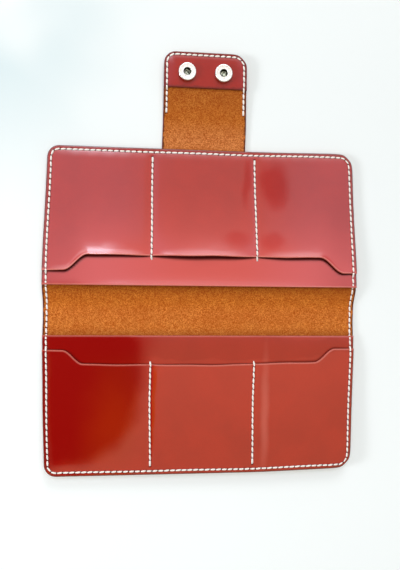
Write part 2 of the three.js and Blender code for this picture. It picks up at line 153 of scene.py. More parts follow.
def settle(flat, soft=True):
    """Takes points of the flat layout, in millimetres, to the resting holder, in metres."""
    flat = np.asarray(flat, float)
    x, y = relaxed(flat[:, 0], flat[:, 1]) if soft else (flat[:, 0], flat[:, 1])
    z = flat[:, 2].copy()
    for creases, turn in ((FOLD_CREASES, FOLD_TURN), (STRAP_CREASES, STRAP_TURN)):
        for crease in reversed(creases):
            beyond = flat[:, 1] < crease if turn < 0 else flat[:, 1] > crease
            out, up = y - crease, z - CREASE_HEIGHT
            turned_y = crease + out * math.cos(turn) - up * math.sin(turn)
            turned_z = CREASE_HEIGHT + out * math.sin(turn) + up * math.cos(turn)
            y, z = np.where(beyond, turned_y, y), np.where(beyond, turned_z, z)
    return np.column_stack([x, y + SHIFT, z]) * MM


print("turns at rest:", round(math.degrees(FOLD_TURN), 3), round(math.degrees(STRAP_TURN), 3))

# %% [markdown]
# ## How used leather lies
#
# Empty pockets never lie quite flat. Towards the fold the upper half stands up a little, most at
# its right, and the front mouths gape between their seams. A few smooth height functions say this
# once, and every sheet and every stitch then takes its height from them, so that nothing floats or
# sinks. Modelling it by hand would need the same waves drawn again in each layer.


# %% Heights of the leather
# at the left edge, in the middle and at the right edge: how high the upper half stands at the fold,
# how far the lip of its back pocket curls up, and how far the lower back pocket lies off the cover
COVER_STAND = (2.9, 2.4, 3.3)
BACK_STAND = (2.9, 2.7, 3.3)
BACK_CURL = (0.15, 1.0, 0.2)
LOWER_RISE = (0.2, 0.3, 0.2)
COVER_RISE = 0.2
STAND_START, STAND_REACH = 100, 82
RISE_START, RISE_REACH = 80, 60
BACK_CURL_REACH, LIP_REACH = 15, 6.5
# in each bay of the upper and the lower half: how far the mouth gapes and how far its lip curls up
GAPE = ((0.8, 1.15, 1.0), (0.2, 0.3, 0.4))
LIP = ((0.85, 0.6, 0.6), (0.1, 0.1, 0.1))


def across(x, left, middle, right):
    """A height given at the left edge, the middle and the right edge."""
    way = x / SIDE
    return middle + (right - left) / 2 * way + ((left + right) / 2 - middle) * way * way


def by_bay(x, y, upper, lower):
    """One of three values on the upper half and of three on the lower one, by the bay."""
    bay = np.clip(((x + SIDE) / BAY).astype(int), 0, 2)
    return np.where(y > 0, np.array(upper)[bay], np.array(lower)[bay])


def free(x, power):
    """How free a mouth is of its seams: not at all at the dividers, wholly between them."""
    return np.abs(np.sin(math.pi * (x + SIDE) / BAY)) ** power


def front_mouth(x, y):
    """How far the front pockets' mouth lies from the fold. y only tells which half is meant."""
    upper, way = np.asarray(y) > 0, []
    for start, deep, shallow, end in RECESS.values():
        into, out_of = (x - start) / (deep - start), (end - x) / (end - shallow)
        way.append(np.clip(np.minimum(into, out_of), 0, 1))
    rise = (1 - np.cos(math.pi * np.where(upper, *way))) / 2
    bowed_and_slanting = rise * (0.8 - 1.4 * (x / 80) ** 2) - 0.5 * (1 + x / 95)
    by_hand = 0.2 * np.sin(x / 13 + 1) + 0.12 * np.sin(x / 5.3)
    by_hand += np.where(upper, rise, bowed_and_slanting)
    return FRONT_MOUTH + (FRONT_MIDDLE - FRONT_MOUTH) * rise + by_hand


def ripple(x, y):
    """Slow waves in the leather, none at the fold and the outer edge."""
    inside = ease((np.abs(y) - 8) / 18) * ease((EDGE - np.abs(y)) / 30)
    return 0.1 * (1 + np.sin(x / 17 + 0.7) * np.cos(y / 24 - 0.4)) * inside


def stand(y):
    """How the upper half stands up, more and more towards the fold."""
    return np.clip((STAND_START - y) / STAND_REACH, 0, 1.02) ** 2.2


def curl(distance, reach):
    """How a lip curls up beside its mouth."""
    return np.clip(1 - np.maximum(distance, 0) / reach, 0, 1) ** 2


def cover_lift(x, y):
    upper = across(x, *COVER_STAND) * stand(y) * ease((y - 3) / 14)
    lower = COVER_RISE * ease((-y - 5) / 13) * ease((RISE_START + y) / RISE_REACH)
    return upper + lower + ripple(x, y)


def back_lift(x, y):
    upper = across(x, *BACK_STAND) * stand(y)
    upper += across(x, *BACK_CURL) * curl(y - BACK_MOUTH, BACK_CURL_REACH)
    lower = across(x, *LOWER_RISE) * ease((RISE_START + y) / RISE_REACH)
    return np.where(y > 0, upper, lower) + ripple(x, y)


def front_lift(x, y):
    loose = free(x, 0.7)
    return (back_lift(x, y) + by_bay(x, y, *GAPE) * loose * ease((60 - np.abs(y)) / 26)
            + by_bay(x, y, *LIP) * loose * curl(np.abs(y) - front_mouth(x, y), LIP_REACH))


def side_at(y):
    """Half the holder's width, which is drawn in a little at the fold."""
    return SIDE - WAIST * ease((BACK_MOUTH - np.abs(y)) / (BACK_MOUTH - WAIST_REACH))


# %% [markdown]
# ## Seams
#
# A saddle stitcher first presses a line beside the edge, then pricks slanted holes along it. The
# thread pulls the leather down there. Each seam is a line of points here: the sheets dip along it
# and the stitches are set on it.


# %% Lines of the seams
def arc_points(centre, radius, start, end, count=9):
    angles = np.radians(np.linspace(start, end, count))
    return [(centre[0] + radius * math.cos(a), centre[1] + radius * math.sin(a)) for a in angles]


def run(points, step):
    """The same line with points no further apart than step."""
    out = []
    for start, end in zip(points[:-1], points[1:]):
        start, end = np.array(start, float), np.array(end, float)
        parts = max(1, math.ceil(np.linalg.norm(end - start) / step))
        out += [tuple(start + (end - start) * i / parts) for i in range(parts)]
    return out + [tuple(points[-1])]


SEAM_INSET = 2.7
STRAP_SEAM_INSET = 2.1
STITCH_PITCH = 4.1
STRAP_SEAM_START = 139.2
DIVIDER_START = EDGE - 5.9
DIVIDER_END = FRONT_MIDDLE - 2.2
DIVIDER_ASKEW = 0.85
LINE_STEP = 1.0
PRESSED_WIDTH = 0.95


def spine_side(sign, y_from, y_to, inset):
    return [(sign * (float(side_at(y)) - inset), y) for y in np.linspace(y_from, y_to, 18)]


def perimeter_line(half):
    """The seam round one half, from the middle of the fold on the left to there on the right."""
    out, edge, radius = SIDE - SEAM_INSET, EDGE - SEAM_INSET, CORNER - SEAM_INSET
    left = spine_side(-1, 0, BACK_MOUTH, SEAM_INSET)
    right = spine_side(1, BACK_MOUTH, 0, SEAM_INSET)
    top = arc_points((radius - out, edge - radius), radius, 180, 90)
    top += arc_points((out - radius, edge - radius), radius, 90, 0)
    return np.array([(x, half * y) for x, y in run(left + top + right, LINE_STEP)])


def divider_line(x, half):
    """The upper right one runs a little askew."""
    ys = np.linspace(DIVIDER_START, DIVIDER_END, 60)
    askew = np.linspace(0, DIVIDER_ASKEW if x > 0 and half > 0 else 0, 60)
    return np.column_stack([x + askew, half * ys])


def strap_line():
    out, tip = STRAP_SIDE - STRAP_SEAM_INSET, STRAP_TIP - STRAP_SEAM_INSET
    radius = CORNER - STRAP_SEAM_INSET
    points = [(-out, STRAP_SEAM_START)]
    points += arc_points((radius - out, tip - radius), radius, 180, 90)
    points += arc_points((out - radius, tip - radius), radius, 90, 0)
    return np.array(run(points + [(out, STRAP_SEAM_START)], LINE_STEP))


PERIMETER = [perimeter_line(1), perimeter_line(-1)]
DIVIDERS = [divider_line(x, half) for half in (1, -1) for x in (-DIVIDER, DIVIDER)]
STRAP_SEAM = strap_line()


def distance_to(lines, x, y):
    """Distance of each point to the nearest of some lines, in batches that fit in memory."""
    nearest, batch = np.full(len(x), 1e9), 2000
    for line in lines:
        for start in range(0, len(x), batch):
            part = slice(start, start + batch)
            gap = np.hypot(x[part, None] - line[None, :, 0], y[part, None] - line[None, :, 1])
            nearest[part] = np.minimum(nearest[part], gap.min(axis=1))
    return nearest


def pressed(lines, depth):
    """A height function that dips along some seams."""
    return lambda x, y: -depth * np.exp(-((distance_to(lines, x, y) / PRESSED_WIDTH) ** 2))


half_seam = np.linalg.norm(np.diff(PERIMETER[0], axis=0), axis=1).sum()
print("perimeter seam:", round(2 * half_seam), "mm")

# %% [markdown]
# ## A sheet of leather
#
# Every sheet here is an outline with two faces and a rounded edge. A subdivided cube would waste
# points and could not follow the thumb recess, so the outline's points and a loose grid inside it
# are joined by a triangulation. Extra rows beside the edge and along the seams carry the rounding
# and the pressed lines. Each point also keeps its place in the flat layout and its distance to the
# edge as attributes: the finishes use them, so that grain and burnishing stay put when it bends.


# %% Outline helpers
def inward(outline, cuts):
    """For each point of an outline, the direction into the leather, none along a plain cut."""
    ahead, behind = np.roll(outline, -1, axis=0), np.roll(outline, 1, axis=0)
    along = ahead - behind
    normal = np.column_stack([-along[:, 1], along[:, 0]])
    normal /= np.linalg.norm(normal, axis=1)[:, None]
    on_cut = np.isin(np.round(outline[:, 1], 4), np.round(cuts, 4))
    end = on_cut & ~(np.roll(on_cut, 1) & np.roll(on_cut, -1))
    normal[on_cut] = 0
    normal[end] = np.column_stack([-np.sign(outline[end, 0]), np.zeros(end.sum())])
    return normal, on_cut


def inside(outline, points):
    """Whether each point lies inside an outline."""
    x, y = points[:, 0, None], points[:, 1, None]
    ax, ay = outline[:, 0], outline[:, 1]
    bx, by = np.roll(ax, -1), np.roll(ay, -1)
    with np.errstate(divide="ignore", invalid="ignore"):
        crossing = ((ay > y) != (by > y)) & (x < (bx - ax) * (y - ay) / (by - ay) + ax)
    return crossing.sum(axis=1) % 2 == 1


def thinned(kept, added, gap):
    """kept and those of added that are at least gap from everything accepted before them."""
    tree = KDTree(len(kept) + 1)
    for i, (x, y) in enumerate(kept):
        tree.insert((x, y, 0), i)
    tree.insert((1e6, 1e6, 0), len(kept))
    tree.balance()
    return list(kept) + [p for p in added if tree.find((p[0], p[1], 0))[2] >= gap]


# %% Build a sheet
# spacing of the loose grid, and the least distance of a point to those that were set before it
GRID = 4.0
ROW_GAP, RIB_GAP, GRID_GAP, GRID_TO_RIM = 0.35, 0.45, 1.8, 1.6
ROUNDING = np.radians([0, 30, 60, 90])


def leather(name, outline, bottom, top, lift, round_top, round_bottom, cuts=(), rows=(), ribs=(),
            dip_top=None, dip_bottom=None, raw=None, wear_and_sheen=None, shaded=None):
    """A sheet over an outline that runs anticlockwise, with slots 0 top, 1 edge and 2 bottom."""
    outline = np.array(outline, float)
    normal, on_cut = inward(outline, np.array(list(cuts) or [1e9]))
    profile = [(round_top * (1 - math.sin(a)), top - round_top * (1 - math.cos(a)))
               for a in ROUNDING]
    profile += [(round_bottom * (1 - math.sin(a)), bottom + round_bottom * (1 - math.cos(a)))
                for a in reversed(ROUNDING)]
    rim = outline + profile[0][0] * normal

    inner = []
    soft = outline[~on_cut]
    for row in rows:
        line = (outline + row * normal)[~on_cut]
        inside_row = line[inside(rim, line)]
        far = distance_to([soft], inside_row[:, 0], inside_row[:, 1]) > row - 0.25
        inner = thinned(inner, inside_row[far], ROW_GAP)
    for rib in ribs:
        inner = thinned(inner, rib[inside(rim, rib)], RIB_GAP)
    low, high = rim.min(axis=0), rim.max(axis=0)
    columns, lines = (np.linspace(a, b, max(3, round((b - a) / GRID))) for a, b in zip(low, high))
    grid = np.array([(x, y) for y in lines[1:-1] for x in columns[1:-1]])
    grid = grid[inside(rim, grid)]
    grid = grid[distance_to([rim], grid[:, 0], grid[:, 1]) > GRID_TO_RIM]
    inner = np.array(thinned(inner, grid, GRID_GAP)).reshape(-1, 2)

    count = len(rim)
    seeds = [Vector(p) for p in rim] + [Vector(p) for p in inner]
    ring = [(i, (i + 1) % count) for i in range(count)]
    flat_points, _, faces, origin, _, _ = delaunay_2d_cdt(seeds, ring, [], 1, 1e-5)
    found = {source: i for i, sources in enumerate(origin) for source in sources}
    border = np.array([found[i] for i in range(count)])
    flat_points = np.array([tuple(p) for p in flat_points])
    faces = [f if twice_area(flat_points[list(f)]) > 0 else f[::-1] for f in faces]

    total = len(flat_points)
    lower = flat_points.copy()
    lower[border] = outline + profile[-1][0] * normal
    xy = [flat_points] + [outline + inset * normal for inset, _ in profile[1:-1]] + [lower]
    z = [np.full(total, top)] + [np.full(count, level) for _, level in profile[1:-1]]
    z += [np.full(total, bottom)]
    xy, z = np.vstack(xy), np.concatenate(z)
    height = z + lift(xy[:, 0], xy[:, 1])
    if dip_top:
        height[:total] += dip_top(flat_points[:, 0], flat_points[:, 1])
    if dip_bottom:
        height[-total:] -= dip_bottom(lower[:, 0], lower[:, 1])

    rings = [border] + [total + count * k + np.arange(count) for k in range(len(profile) - 2)]
    rings += [total + count * (len(profile) - 2) + border]
    walls = [(int(b[i]), int(b[j]), int(a[j]), int(a[i]))
             for a, b in zip(rings[:-1], rings[1:]) for i, j in ring]
    base = total + count * (len(profile) - 2)
    under = [tuple(base + i for i in reversed(f)) for f in faces]
    slots = [0] * len(faces) + [1] * len(walls) + [2] * len(under)
    mouth = np.zeros(count, bool) if raw is None else raw(outline[:, 0], outline[:, 1]) > 0.5
    worn = outline[~on_cut & ~mouth]
    step = np.linalg.norm(np.roll(worn, -1, axis=0) - worn, axis=1)
    between = ((worn + np.roll(worn, -1, axis=0)) / 2)[step < 5]
    edge = distance_to([worn, between], xy[:, 0], xy[:, 1])
    flat = np.column_stack([xy, z])
    piece = mesh_object(name, np.column_stack([xy, height]), list(faces) + walls + under, flat)
    piece.data.polygons.foreach_set("material_index", slots)
    give(piece, "edge", edge)
    for mark, where in (("raw", raw), ("shaded", shaded), ("wear_and_sheen", wear_and_sheen)):
        give(piece, mark, np.zeros(len(xy)) if where is None else where(xy[:, 0], xy[:, 1]))
    return piece


def twice_area(triangle):
    (ax, ay), (bx, by), (cx, cy) = triangle[:3]
    return (bx - ax) * (cy - ay) - (by - ay) * (cx - ax)


def give(piece, name, values):
    attribute = piece.data.attributes.new(name, "FLOAT", "POINT")
    attribute.data.foreach_set("value", np.asarray(values, np.float32))


def mesh_object(name, points, faces, flat, soft=True):
    """A smooth mesh of points of the layout, lifted as they lie, that remembers its flat places."""
    mesh = bpy.data.meshes.new(name)
    mesh.from_pydata(settle(points, soft).tolist(), [], faces)
    mesh.shade_smooth()
    mesh.set_sharp_from_angle(angle=math.radians(40))
    piece = bpy.data.objects.new(name, mesh)
    bpy.context.scene.collection.objects.link(piece)
    attribute = mesh.attributes.new("flat", "FLOAT_VECTOR", "POINT")
    attribute.data.foreach_set("vector", np.asarray(flat, np.float32).ravel())
    return piece


# %% [markdown]
# ## The cover
#
# The cover and the strap are one piece of thick leather, flesh side in. It has to bend at four
# creases, and a blend may cross one joint only. It bends at four creases, and the sheet is parted
# where both sides of the part always move together: in the middle of the spine, under the pockets,
# and in the middle of the strap's bend. The parts end in plain cuts that touch, which can't be
# told from one sheet.


# %% Cover, in four leaves
def mirrored(points):
    return [(x, -y) for x, y in reversed(points)]


def side_run(sign, y_from, y_to):
    """Along one side of the holder."""
    count = max(2, math.ceil(abs(y_to - y_from) / 2))
    return [(sign * float(side_at(y)), float(y)) for y in np.linspace(y_from, y_to, count + 1)]


def outer_corners():
    """The two outer corners of the upper half, from right to left, and the edge between them."""
    right = arc_points((SIDE - CORNER, EDGE - CORNER), CORNER, 0, 90)
    left = arc_points((CORNER - SIDE, EDGE - CORNER), CORNER, 90, 180)
    return right, left


def closed(points, step=2.0):
    """An outline through some corners, dense enough to bend."""
    return run(points + points[:1], step)[:-1]


CUT_IN_POCKETS = 60.0
CUT_IN_STRAP = sum(STRAP_CREASES) / 2
ROOT = 1.0
right_corner, left_corner = outer_corners()
right_root = arc_points((STRAP_SIDE + ROOT, EDGE + ROOT), ROOT, 270, 180, 5)
left_root = [(-x, y) for x, y in reversed(right_root)]
tip_right = arc_points((STRAP_SIDE - CORNER, STRAP_TIP - CORNER), CORNER, 0, 90)
tip_left = [(-x, y) for x, y in reversed(tip_right)]

fold_leaf = closed(side_run(1, 0, CUT_IN_POCKETS) + side_run(-1, CUT_IN_POCKETS, 0))
strap_root_leaf = closed(
    side_run(1, CUT_IN_POCKETS, EDGE - CORNER)[:-1] + right_corner + right_root
    + [(STRAP_SIDE, CUT_IN_STRAP), (-STRAP_SIDE, CUT_IN_STRAP)]
    + left_root + left_corner + side_run(-1, EDGE - CORNER, CUT_IN_POCKETS)[1:])
strap_end_leaf = closed([(STRAP_SIDE, CUT_IN_STRAP)] + tip_right + tip_left
                        + [(-STRAP_SIDE, CUT_IN_STRAP)])
lower_leaf = closed(mirrored(side_run(1, 0, EDGE - CORNER)[:-1] + right_corner + left_corner
                             + side_run(-1, EDGE - CORNER, 0)[1:]))

# distances from the edge of the extra rows beside a seam, and extra rows where the leather bends
SEAM_ROWS = (1.3, 2.0, 2.7, 3.4, 4.2)
bend_rows = [np.array([(x, y) for x in np.linspace(-107, 107, 72)])
             for y in np.arange(-16.5, 17, 1.1)]
strap_rows = [np.array([(x, y) for x in np.linspace(-26.5, 26.5, 19)])
              for y in np.arange(112.2, 140, 1.0)]


# depths to which the leather is pressed along its seams
COVER_DIP, FRONT_DIP, LINING_DIP = 0.15, 0.2, 0.2
CHANNEL = 0.4


def cover_leaf(name, outline, cuts, ribs):
    # the outer face has a channel in which the stitches lie flush
    return leather(name, outline, 0, COVER_TOP, cover_lift, 0.45, 0.6, cuts, SEAM_ROWS, ribs,
                   dip_top=pressed(PERIMETER + [STRAP_SEAM], COVER_DIP),
                   dip_bottom=pressed(PERIMETER + [STRAP_SEAM], CHANNEL))


cover_fold = cover_leaf("cover_fold_leaf", fold_leaf, (0, CUT_IN_POCKETS), bend_rows)
cover_lower = cover_leaf("cover_lower_leaf", lower_leaf, (0,), bend_rows)
cover_root = cover_leaf("cover_strap_root_leaf", strap_root_leaf,
                        (CUT_IN_POCKETS, CUT_IN_STRAP), strap_rows)
cover_tip = cover_leaf("cover_strap_end_leaf", strap_end_leaf, (CUT_IN_STRAP,), strap_rows)
for leaf in (cover_fold, cover_lower, cover_root, cover_tip):
    print(leaf.name, len(leaf.data.polygons), "faces")

# %% [markdown]
# ## Pockets and lining
#
# Each half has a back pocket with a straight mouth and a shorter front pocket, whose mouth runs
# back in two S-curves to give the thumb room. They are thinner leather, grain side up. The raw
# edge at a mouth is lighter than the burnished outer edge, so those points get a mark of their own.


# %% Outlines of the pockets, and their marks
# a sheet starts this much above the one under it, so that the two never share a face
ABOVE = 0.01


def pocket_outline(mouth, half):
    sides = [(SIDE, mouth[-1][1])] + right_corner + left_corner + [(-SIDE, mouth[0][1])]
    points = closed(mouth[1:-1] + sides, 2.2)
    return points if half > 0 else mirrored(points)


def back_outline(half):
    return pocket_outline([(x, BACK_MOUTH) for x in np.linspace(-SIDE, SIDE, 90)], half)


def front_outline(half):
    """Denser along the two S-curves."""
    xs = np.concatenate([
        np.linspace(*stretch) for stretch in
        ((-SIDE, -97, 8), (-96, -78, 22), (-76, 77, 76), (79, 100, 24), (101, SIDE, 6))])
    return pocket_outline([(x, float(front_mouth(x, half))) for x in xs], half)


def divider_ribs(half):
    ys = np.arange(FRONT_MIDDLE + 0.8, EDGE - 3, 1.3)
    return [np.array([(x + off, half * y) for y in ys])
            for x in (-DIVIDER, DIVIDER) for off in (0, -0.8, 0.8, -1.7, 1.7)]


def at_back_mouth(x, y):
    return (np.abs(y) < BACK_MOUTH + 0.6).astype(float)


def at_front_mouth(x, y):
    return (np.abs(y) < front_mouth(x, y) + np.where(y > 0, 1.1, 0.7)).astype(float)


# how wide the painted shadow lies beyond the front pocket's lip in each bay of the upper and the
# lower half, at least and at most
LIP_SHADOW_LEAST = ((0.3, 0.3, 0.3), (0.3, 0.3, 0.8))
LIP_SHADOW_WIDTH = ((2.6, 3.7, 2.6), (0.9, 1.0, 1.3))


def under_lip(x, y):
    """Painted shadow on the back pocket just outside the front pocket's lip, which stands over it."""
    way = front_mouth(x, y) - np.abs(y)
    wide = by_bay(x, y, *LIP_SHADOW_WIDTH) * free(x, 0.5)
    wide += by_bay(x, y, *LIP_SHADOW_LEAST)
    even = np.where(y > 0, 0.35, 0.0)
    lip_shade = np.where(way < 0, 1.0, 1 - ease((way / wide - even) / (1 - even)))
    return lip_shade * np.where(y > 0, 1, 0.75)


def lip_ribs(half):
    xs = np.arange(-107.6, 108, 1.5)
    return [np.array([(x, half * (float(front_mouth(x, half)) - down)) for x in xs])
            for down in (-1.0, 0.05, 0.7, 1.3, 1.9, 2.6, 3.6)]


# lighter over the upper back pocket, most in the middle: wear from hands and a painted sheen
def wear_and_sheen_back(x, y):
    return np.where(y > 0, 0.35 + 0.65 * ease((SIDE - np.abs(x)) / 40), 0.0)


def wear_and_sheen_front(x, y):
    """Lighter towards the mouths from hands' polish and a painted sheen, more on the upper half."""
    near = np.clip(1 - (np.abs(y) - front_mouth(x, y)) / 55, 0, 1)
    upper = 0.95 * near ** 1.8 * (0.5 + 0.5 * ease((SIDE + x) / 40))
    return np.where(y > 0, upper, 0.25 * near)


# %% Pockets and the strap's lining
pockets = {}
for half, word in ((1, "upper"), (-1, "lower")):
    pockets["back", word] = leather(
        f"back_pocket_{word}_leather", back_outline(half), COVER_TOP + ABOVE, BACK_TOP, back_lift,
        0.4, 0.15, rows=SEAM_ROWS, ribs=lip_ribs(half), dip_top=pressed(PERIMETER, COVER_DIP),
        raw=at_back_mouth, wear_and_sheen=wear_and_sheen_back, shaded=under_lip)
    pockets["front", word] = leather(
        f"front_pocket_{word}_leather", front_outline(half), BACK_TOP + ABOVE, FRONT_TOP, front_lift,
        0.45, 0.15, rows=SEAM_ROWS, ribs=divider_ribs(half),
        dip_top=pressed(PERIMETER + DIVIDERS, FRONT_DIP), raw=at_front_mouth, wear_and_sheen=wear_and_sheen_front)

lining_outline = closed([(STRAP_SIDE, LINING_EDGE)] + tip_right + tip_left
                        + [(-STRAP_SIDE, LINING_EDGE)])
lining = leather(
    "strap_lining_leather", lining_outline, COVER_TOP + ABOVE, LINING_TOP, cover_lift, 0.4, 0.15,
    rows=(1.0, 1.6, 2.1, 2.7, 3.4), dip_top=pressed([STRAP_SEAM], LINING_DIP))
print("pockets:", [len(p.data.polygons) for p in pockets.values()], "lining:",
      len(lining.data.polygons))

# %% [markdown]
# ## Stitches
#
# A bead along a path would look like cord. Here each stitch is a mesh of its own: a short length of
# two-ply thread that rises out of one hole, leans a little and dives into the next. One template is
# copied along each seam. Where a seam climbs over a mouth, the maker has stitched twice.

# %% Template of a stitch
# rings of points along the thread and points round it, and the turn of its plies in radians
RINGS, SPOKES, TWIST = 11, 10, 5.5
PLY_DEPTH = 0.13


def stitch_template(length, width, height):
    """Points round a short piece of thread along X, with the twist of its two plies in them."""
    way = np.linspace(-1, 1, RINGS)
    body = np.sqrt(np.clip(1 - np.abs(way) ** 5, 0.05, 1))
    bow = height * 0.42 * (1 - np.abs(way) ** 3) - 0.6 * np.abs(way) ** 9
    turn = np.linspace(0, 2 * math.pi, SPOKES, endpoint=False)
    ply = 2 * turn[None, :] + TWIST * way[:, None]
    bulge = 1 + PLY_DEPTH * np.cos(ply)
    along = np.repeat(way[:, None] * length / 2, SPOKES, axis=1)
    aside = body[:, None] * width / 2 * np.cos(turn)[None, :] * bulge
    up = bow[:, None] + body[:, None] * height / 2 * np.sin(turn)[None, :] * bulge
    points = np.stack([along, aside, up], axis=-1).reshape(-1, 3)
    faces = []
    for r in range(RINGS - 1):
        for s in range(SPOKES):
            a, b = r * SPOKES + s, r * SPOKES + (s + 1) % SPOKES
            faces.append((a, b, b + SPOKES, a + SPOKES))
    last = (RINGS - 1) * SPOKES
    faces += [tuple(reversed(range(SPOKES))), tuple(last + i for i in range(SPOKES))]
    # a mask for painted shade where the thread's ends dive into their holes
    sunk = np.repeat(ease((np.abs(way) - 0.8) / 0.15)[:, None], SPOKES, axis=1)
    return points, faces, np.cos(ply).ravel(), sunk.ravel()


def top_height(x, y):
    """Height of the uppermost leather, as it lies, at points of the layout."""
    x, y = np.asarray(x, float), np.asarray(y, float)
    front = FRONT_TOP + front_lift(x, y)
    back = BACK_TOP + back_lift(x, y)
    cover = COVER_TOP + cover_lift(x, y)
    height = np.where(np.abs(y) > BACK_MOUTH, back, cover)
    height = np.where(np.abs(y) > front_mouth(x, y), front, height)
    return np.where(y > EDGE, np.where(y > LINING_EDGE, LINING_TOP, COVER_TOP), height)


def under_height(x, y):
    return cover_lift(np.asarray(x, float), np.asarray(y, float))


# %% Set stitches along a seam
SLANT = math.radians(5)
STITCH_WIDTH, STITCH_HEIGHT = 1.15, 0.75
# how deep the stitches lie: above in the pressed line, below in the channel
SET_IN, SET_UNDER = 0.08, 0.38
# half the length and half the width of the slits at their ends, and how many corners these have
SLIT_LONG, SLIT_WIDE, SLIT_CORNERS = 0.55, 0.75, 8
SLIT_LIFT = 0.03


def marks_along(line, pitch, extra=()):
    """Where a seam's stitches go: middle, direction and spare width of each."""
    lengths = np.concatenate([[0], np.cumsum(np.linalg.norm(np.diff(line, axis=0), axis=1))])
    count = max(1, round(lengths[-1] / pitch))
    marks = []
    for i in range(count):
        middle = (i + 0.5) * lengths[-1] / count
        at = [np.interp(middle + d, lengths, line[:, k]) for d in (-0.3, 0.3) for k in (0, 1)]
        place = ((at[0] + at[2]) / 2, (at[1] + at[3]) / 2)
        angle, room = math.atan2(at[3] - at[1], at[2] - at[0]), lengths[-1] / count
        marks.append((place, angle, room))
        if i in extra or i - count in extra:
            # a doubled stitch crosses the first one
            marks.append((place, angle - 2 * SLANT, room * 1.06))
    return marks


def stitches(name, marks, fill=0.99, outer=False):
    """One mesh of stitches and of the slits that they go into, dark with painted shade."""
    points, faces, flats, slots, plies, sunk = [], [], [], [], [], []
    level, sign = (under_height, -1) if outer else (top_height, 1)
    order = (lambda f: tuple(reversed(f))) if outer else tuple
    dip = (pressed(PERIMETER + [STRAP_SEAM], CHANNEL) if outer
           else pressed(PERIMETER + DIVIDERS + [STRAP_SEAM], 0.17))
    spoke = np.linspace(0, 2 * math.pi, SLIT_CORNERS + 1)[:-1]
    fan = [(0, 1 + i, 1 + (i + 1) % SLIT_CORNERS) for i in range(SLIT_CORNERS)]

    def add(places, flat, ply, depth, polygons, slot):
        start = sum(len(p) for p in points)
        points.append(places)
        flats.append(flat)
        plies.append(ply)
        sunk.append(depth)
        faces.extend(order([start + i for i in f]) for f in polygons)
        slots.extend([slot] * len(polygons))

    for number, ((x, y), angle, pitch) in enumerate(marks):
        # no two stitches are pulled quite alike
        pull, sway = math.sin(12.9 * number + 4.1), math.sin(78.2 * number + 0.7)
        template, quads, ply, depth = stitch_template(
            pitch * (fill + 0.04 * pull), STITCH_WIDTH, STITCH_HEIGHT)
        lean = angle + sign * SLANT + 0.05 * sway
        x, y = x - 0.1 * pull * math.sin(angle), y + 0.1 * pull * math.cos(angle)
        c, s = math.cos(lean), math.sin(lean)
        px = x + template[:, 0] * c - template[:, 1] * s
        py = y + template[:, 0] * s + template[:, 1] * c
        reach = pitch * fill / 2
        ends = level([x - reach * c, x + reach * c], [y - reach * s, y + reach * s])
        share = ease(template[:, 0] / (2 * reach) + 0.5)
        ground = ends[0] * (1 - share) + ends[1] * share
        rise = SET_UNDER - template[:, 2] if outer else template[:, 2] - SET_IN
        add(np.column_stack([px, py, ground + rise]), template, ply, depth, quads, 0)
        for side in (-1, 1):
            dx = np.concatenate([[0], SLIT_LONG * np.cos(spoke)]) + side * reach
            dy = np.concatenate([[0], SLIT_WIDE * np.sin(spoke)])
            hx, hy = x + dx * c - dy * s, y + dx * s + dy * c
            hz = level(hx, hy) + sign * (dip(hx, hy) + SLIT_LIFT)
            slit_at = np.column_stack([hx, hy, hz])
            add(slit_at, slit_at, np.zeros(len(dx)), np.zeros(len(dx)), fan, 1)
    piece = mesh_object(name, np.vstack(points), faces, np.vstack(flats))
    piece.data.polygons.foreach_set("material_index", slots)
    give(piece, "ply", np.concatenate(plies))
    give(piece, "sunk", np.concatenate(sunk))
    return piece


# %% Stitch every seam, inside and outside
# leather and stitches bend between the fold and this distance from it
BLEND_REACH = 11.4
SHORT_PITCH = 3.95


def parted(marks):
    """Marks on the upper half, those on the two sides of the fold, and those on the lower half."""
    zones = {"upper": [], "fold": [], "hem": [], "lower": []}
    for mark in marks:
        (_, y), _, _ = mark
        far = abs(y) > BLEND_REACH
        zone = ("upper" if far else "fold") if y > 0 else ("lower" if far else "hem")
        zones[zone].append(mark)
    return zones


def over_mouths(line, pitch):
    """Numbers of the stitches that climb over a mouth, which are doubled."""
    marks = marks_along(line, pitch)
    wanted = set()
    for sign in (-1, 1):
        for mouth in (BACK_MOUTH, FRONT_MOUTH):
            gaps = [(abs(abs(p[1]) - mouth) + (0 if p[0] * sign > 0 else 1e3), i)
                    for i, (p, _, _) in enumerate(marks)]
            wanted.add(min(gaps)[1])
    return wanted


seams = {}
for outer, tag in ((False, ""), (True, "_outer")):
    zones = {"upper": [], "fold": [], "hem": [], "lower": []}
    for line in PERIMETER:
        extra = set() if outer else over_mouths(line, STITCH_PITCH)
        for zone, marks in parted(marks_along(line, STITCH_PITCH, extra)).items():
            zones[zone] += marks
    for zone, marks in zones.items():
        seams[f"perimeter_stitches_{zone}{tag}"] = stitches(
            f"perimeter_stitches_{zone}{tag}", marks, outer=outer)
    doubled = () if outer else (0, -1)
    seams[f"strap_stitches{tag}"] = stitches(
        f"strap_stitches{tag}", marks_along(STRAP_SEAM, SHORT_PITCH, doubled), outer=outer)
for i, line in enumerate(DIVIDERS):
    word = "upper" if i < 2 else "lower"
    name = f"divider_stitches_{word}_{i % 2 + 1}"
    seams[name] = stitches(name, marks_along(line, SHORT_PITCH, (0,)), fill=1.06)
print("stitch meshes:", {n: len(p.data.polygons) for n, p in seams.items()})

# %% [markdown]
# ## Snap fasteners
#
# Each socket is a rolled nickel ring with a hole, in which two wires catch the stud. Turned parts are
# best made as they are made in metal, from a profile swept round an axis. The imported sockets, caps
# and studs have few facets, so finer turnings replace them. The caps' clinched posts, which show in
# the sockets' holes, are turnings of their own. The wires and the rivets stay as they are packed.


# %% Turned parts
SEGMENTS = 72
# how far a post is split when it is clinched, and beyond which radius
SPLIT, SPLIT_FROM = 0.16, 1.8


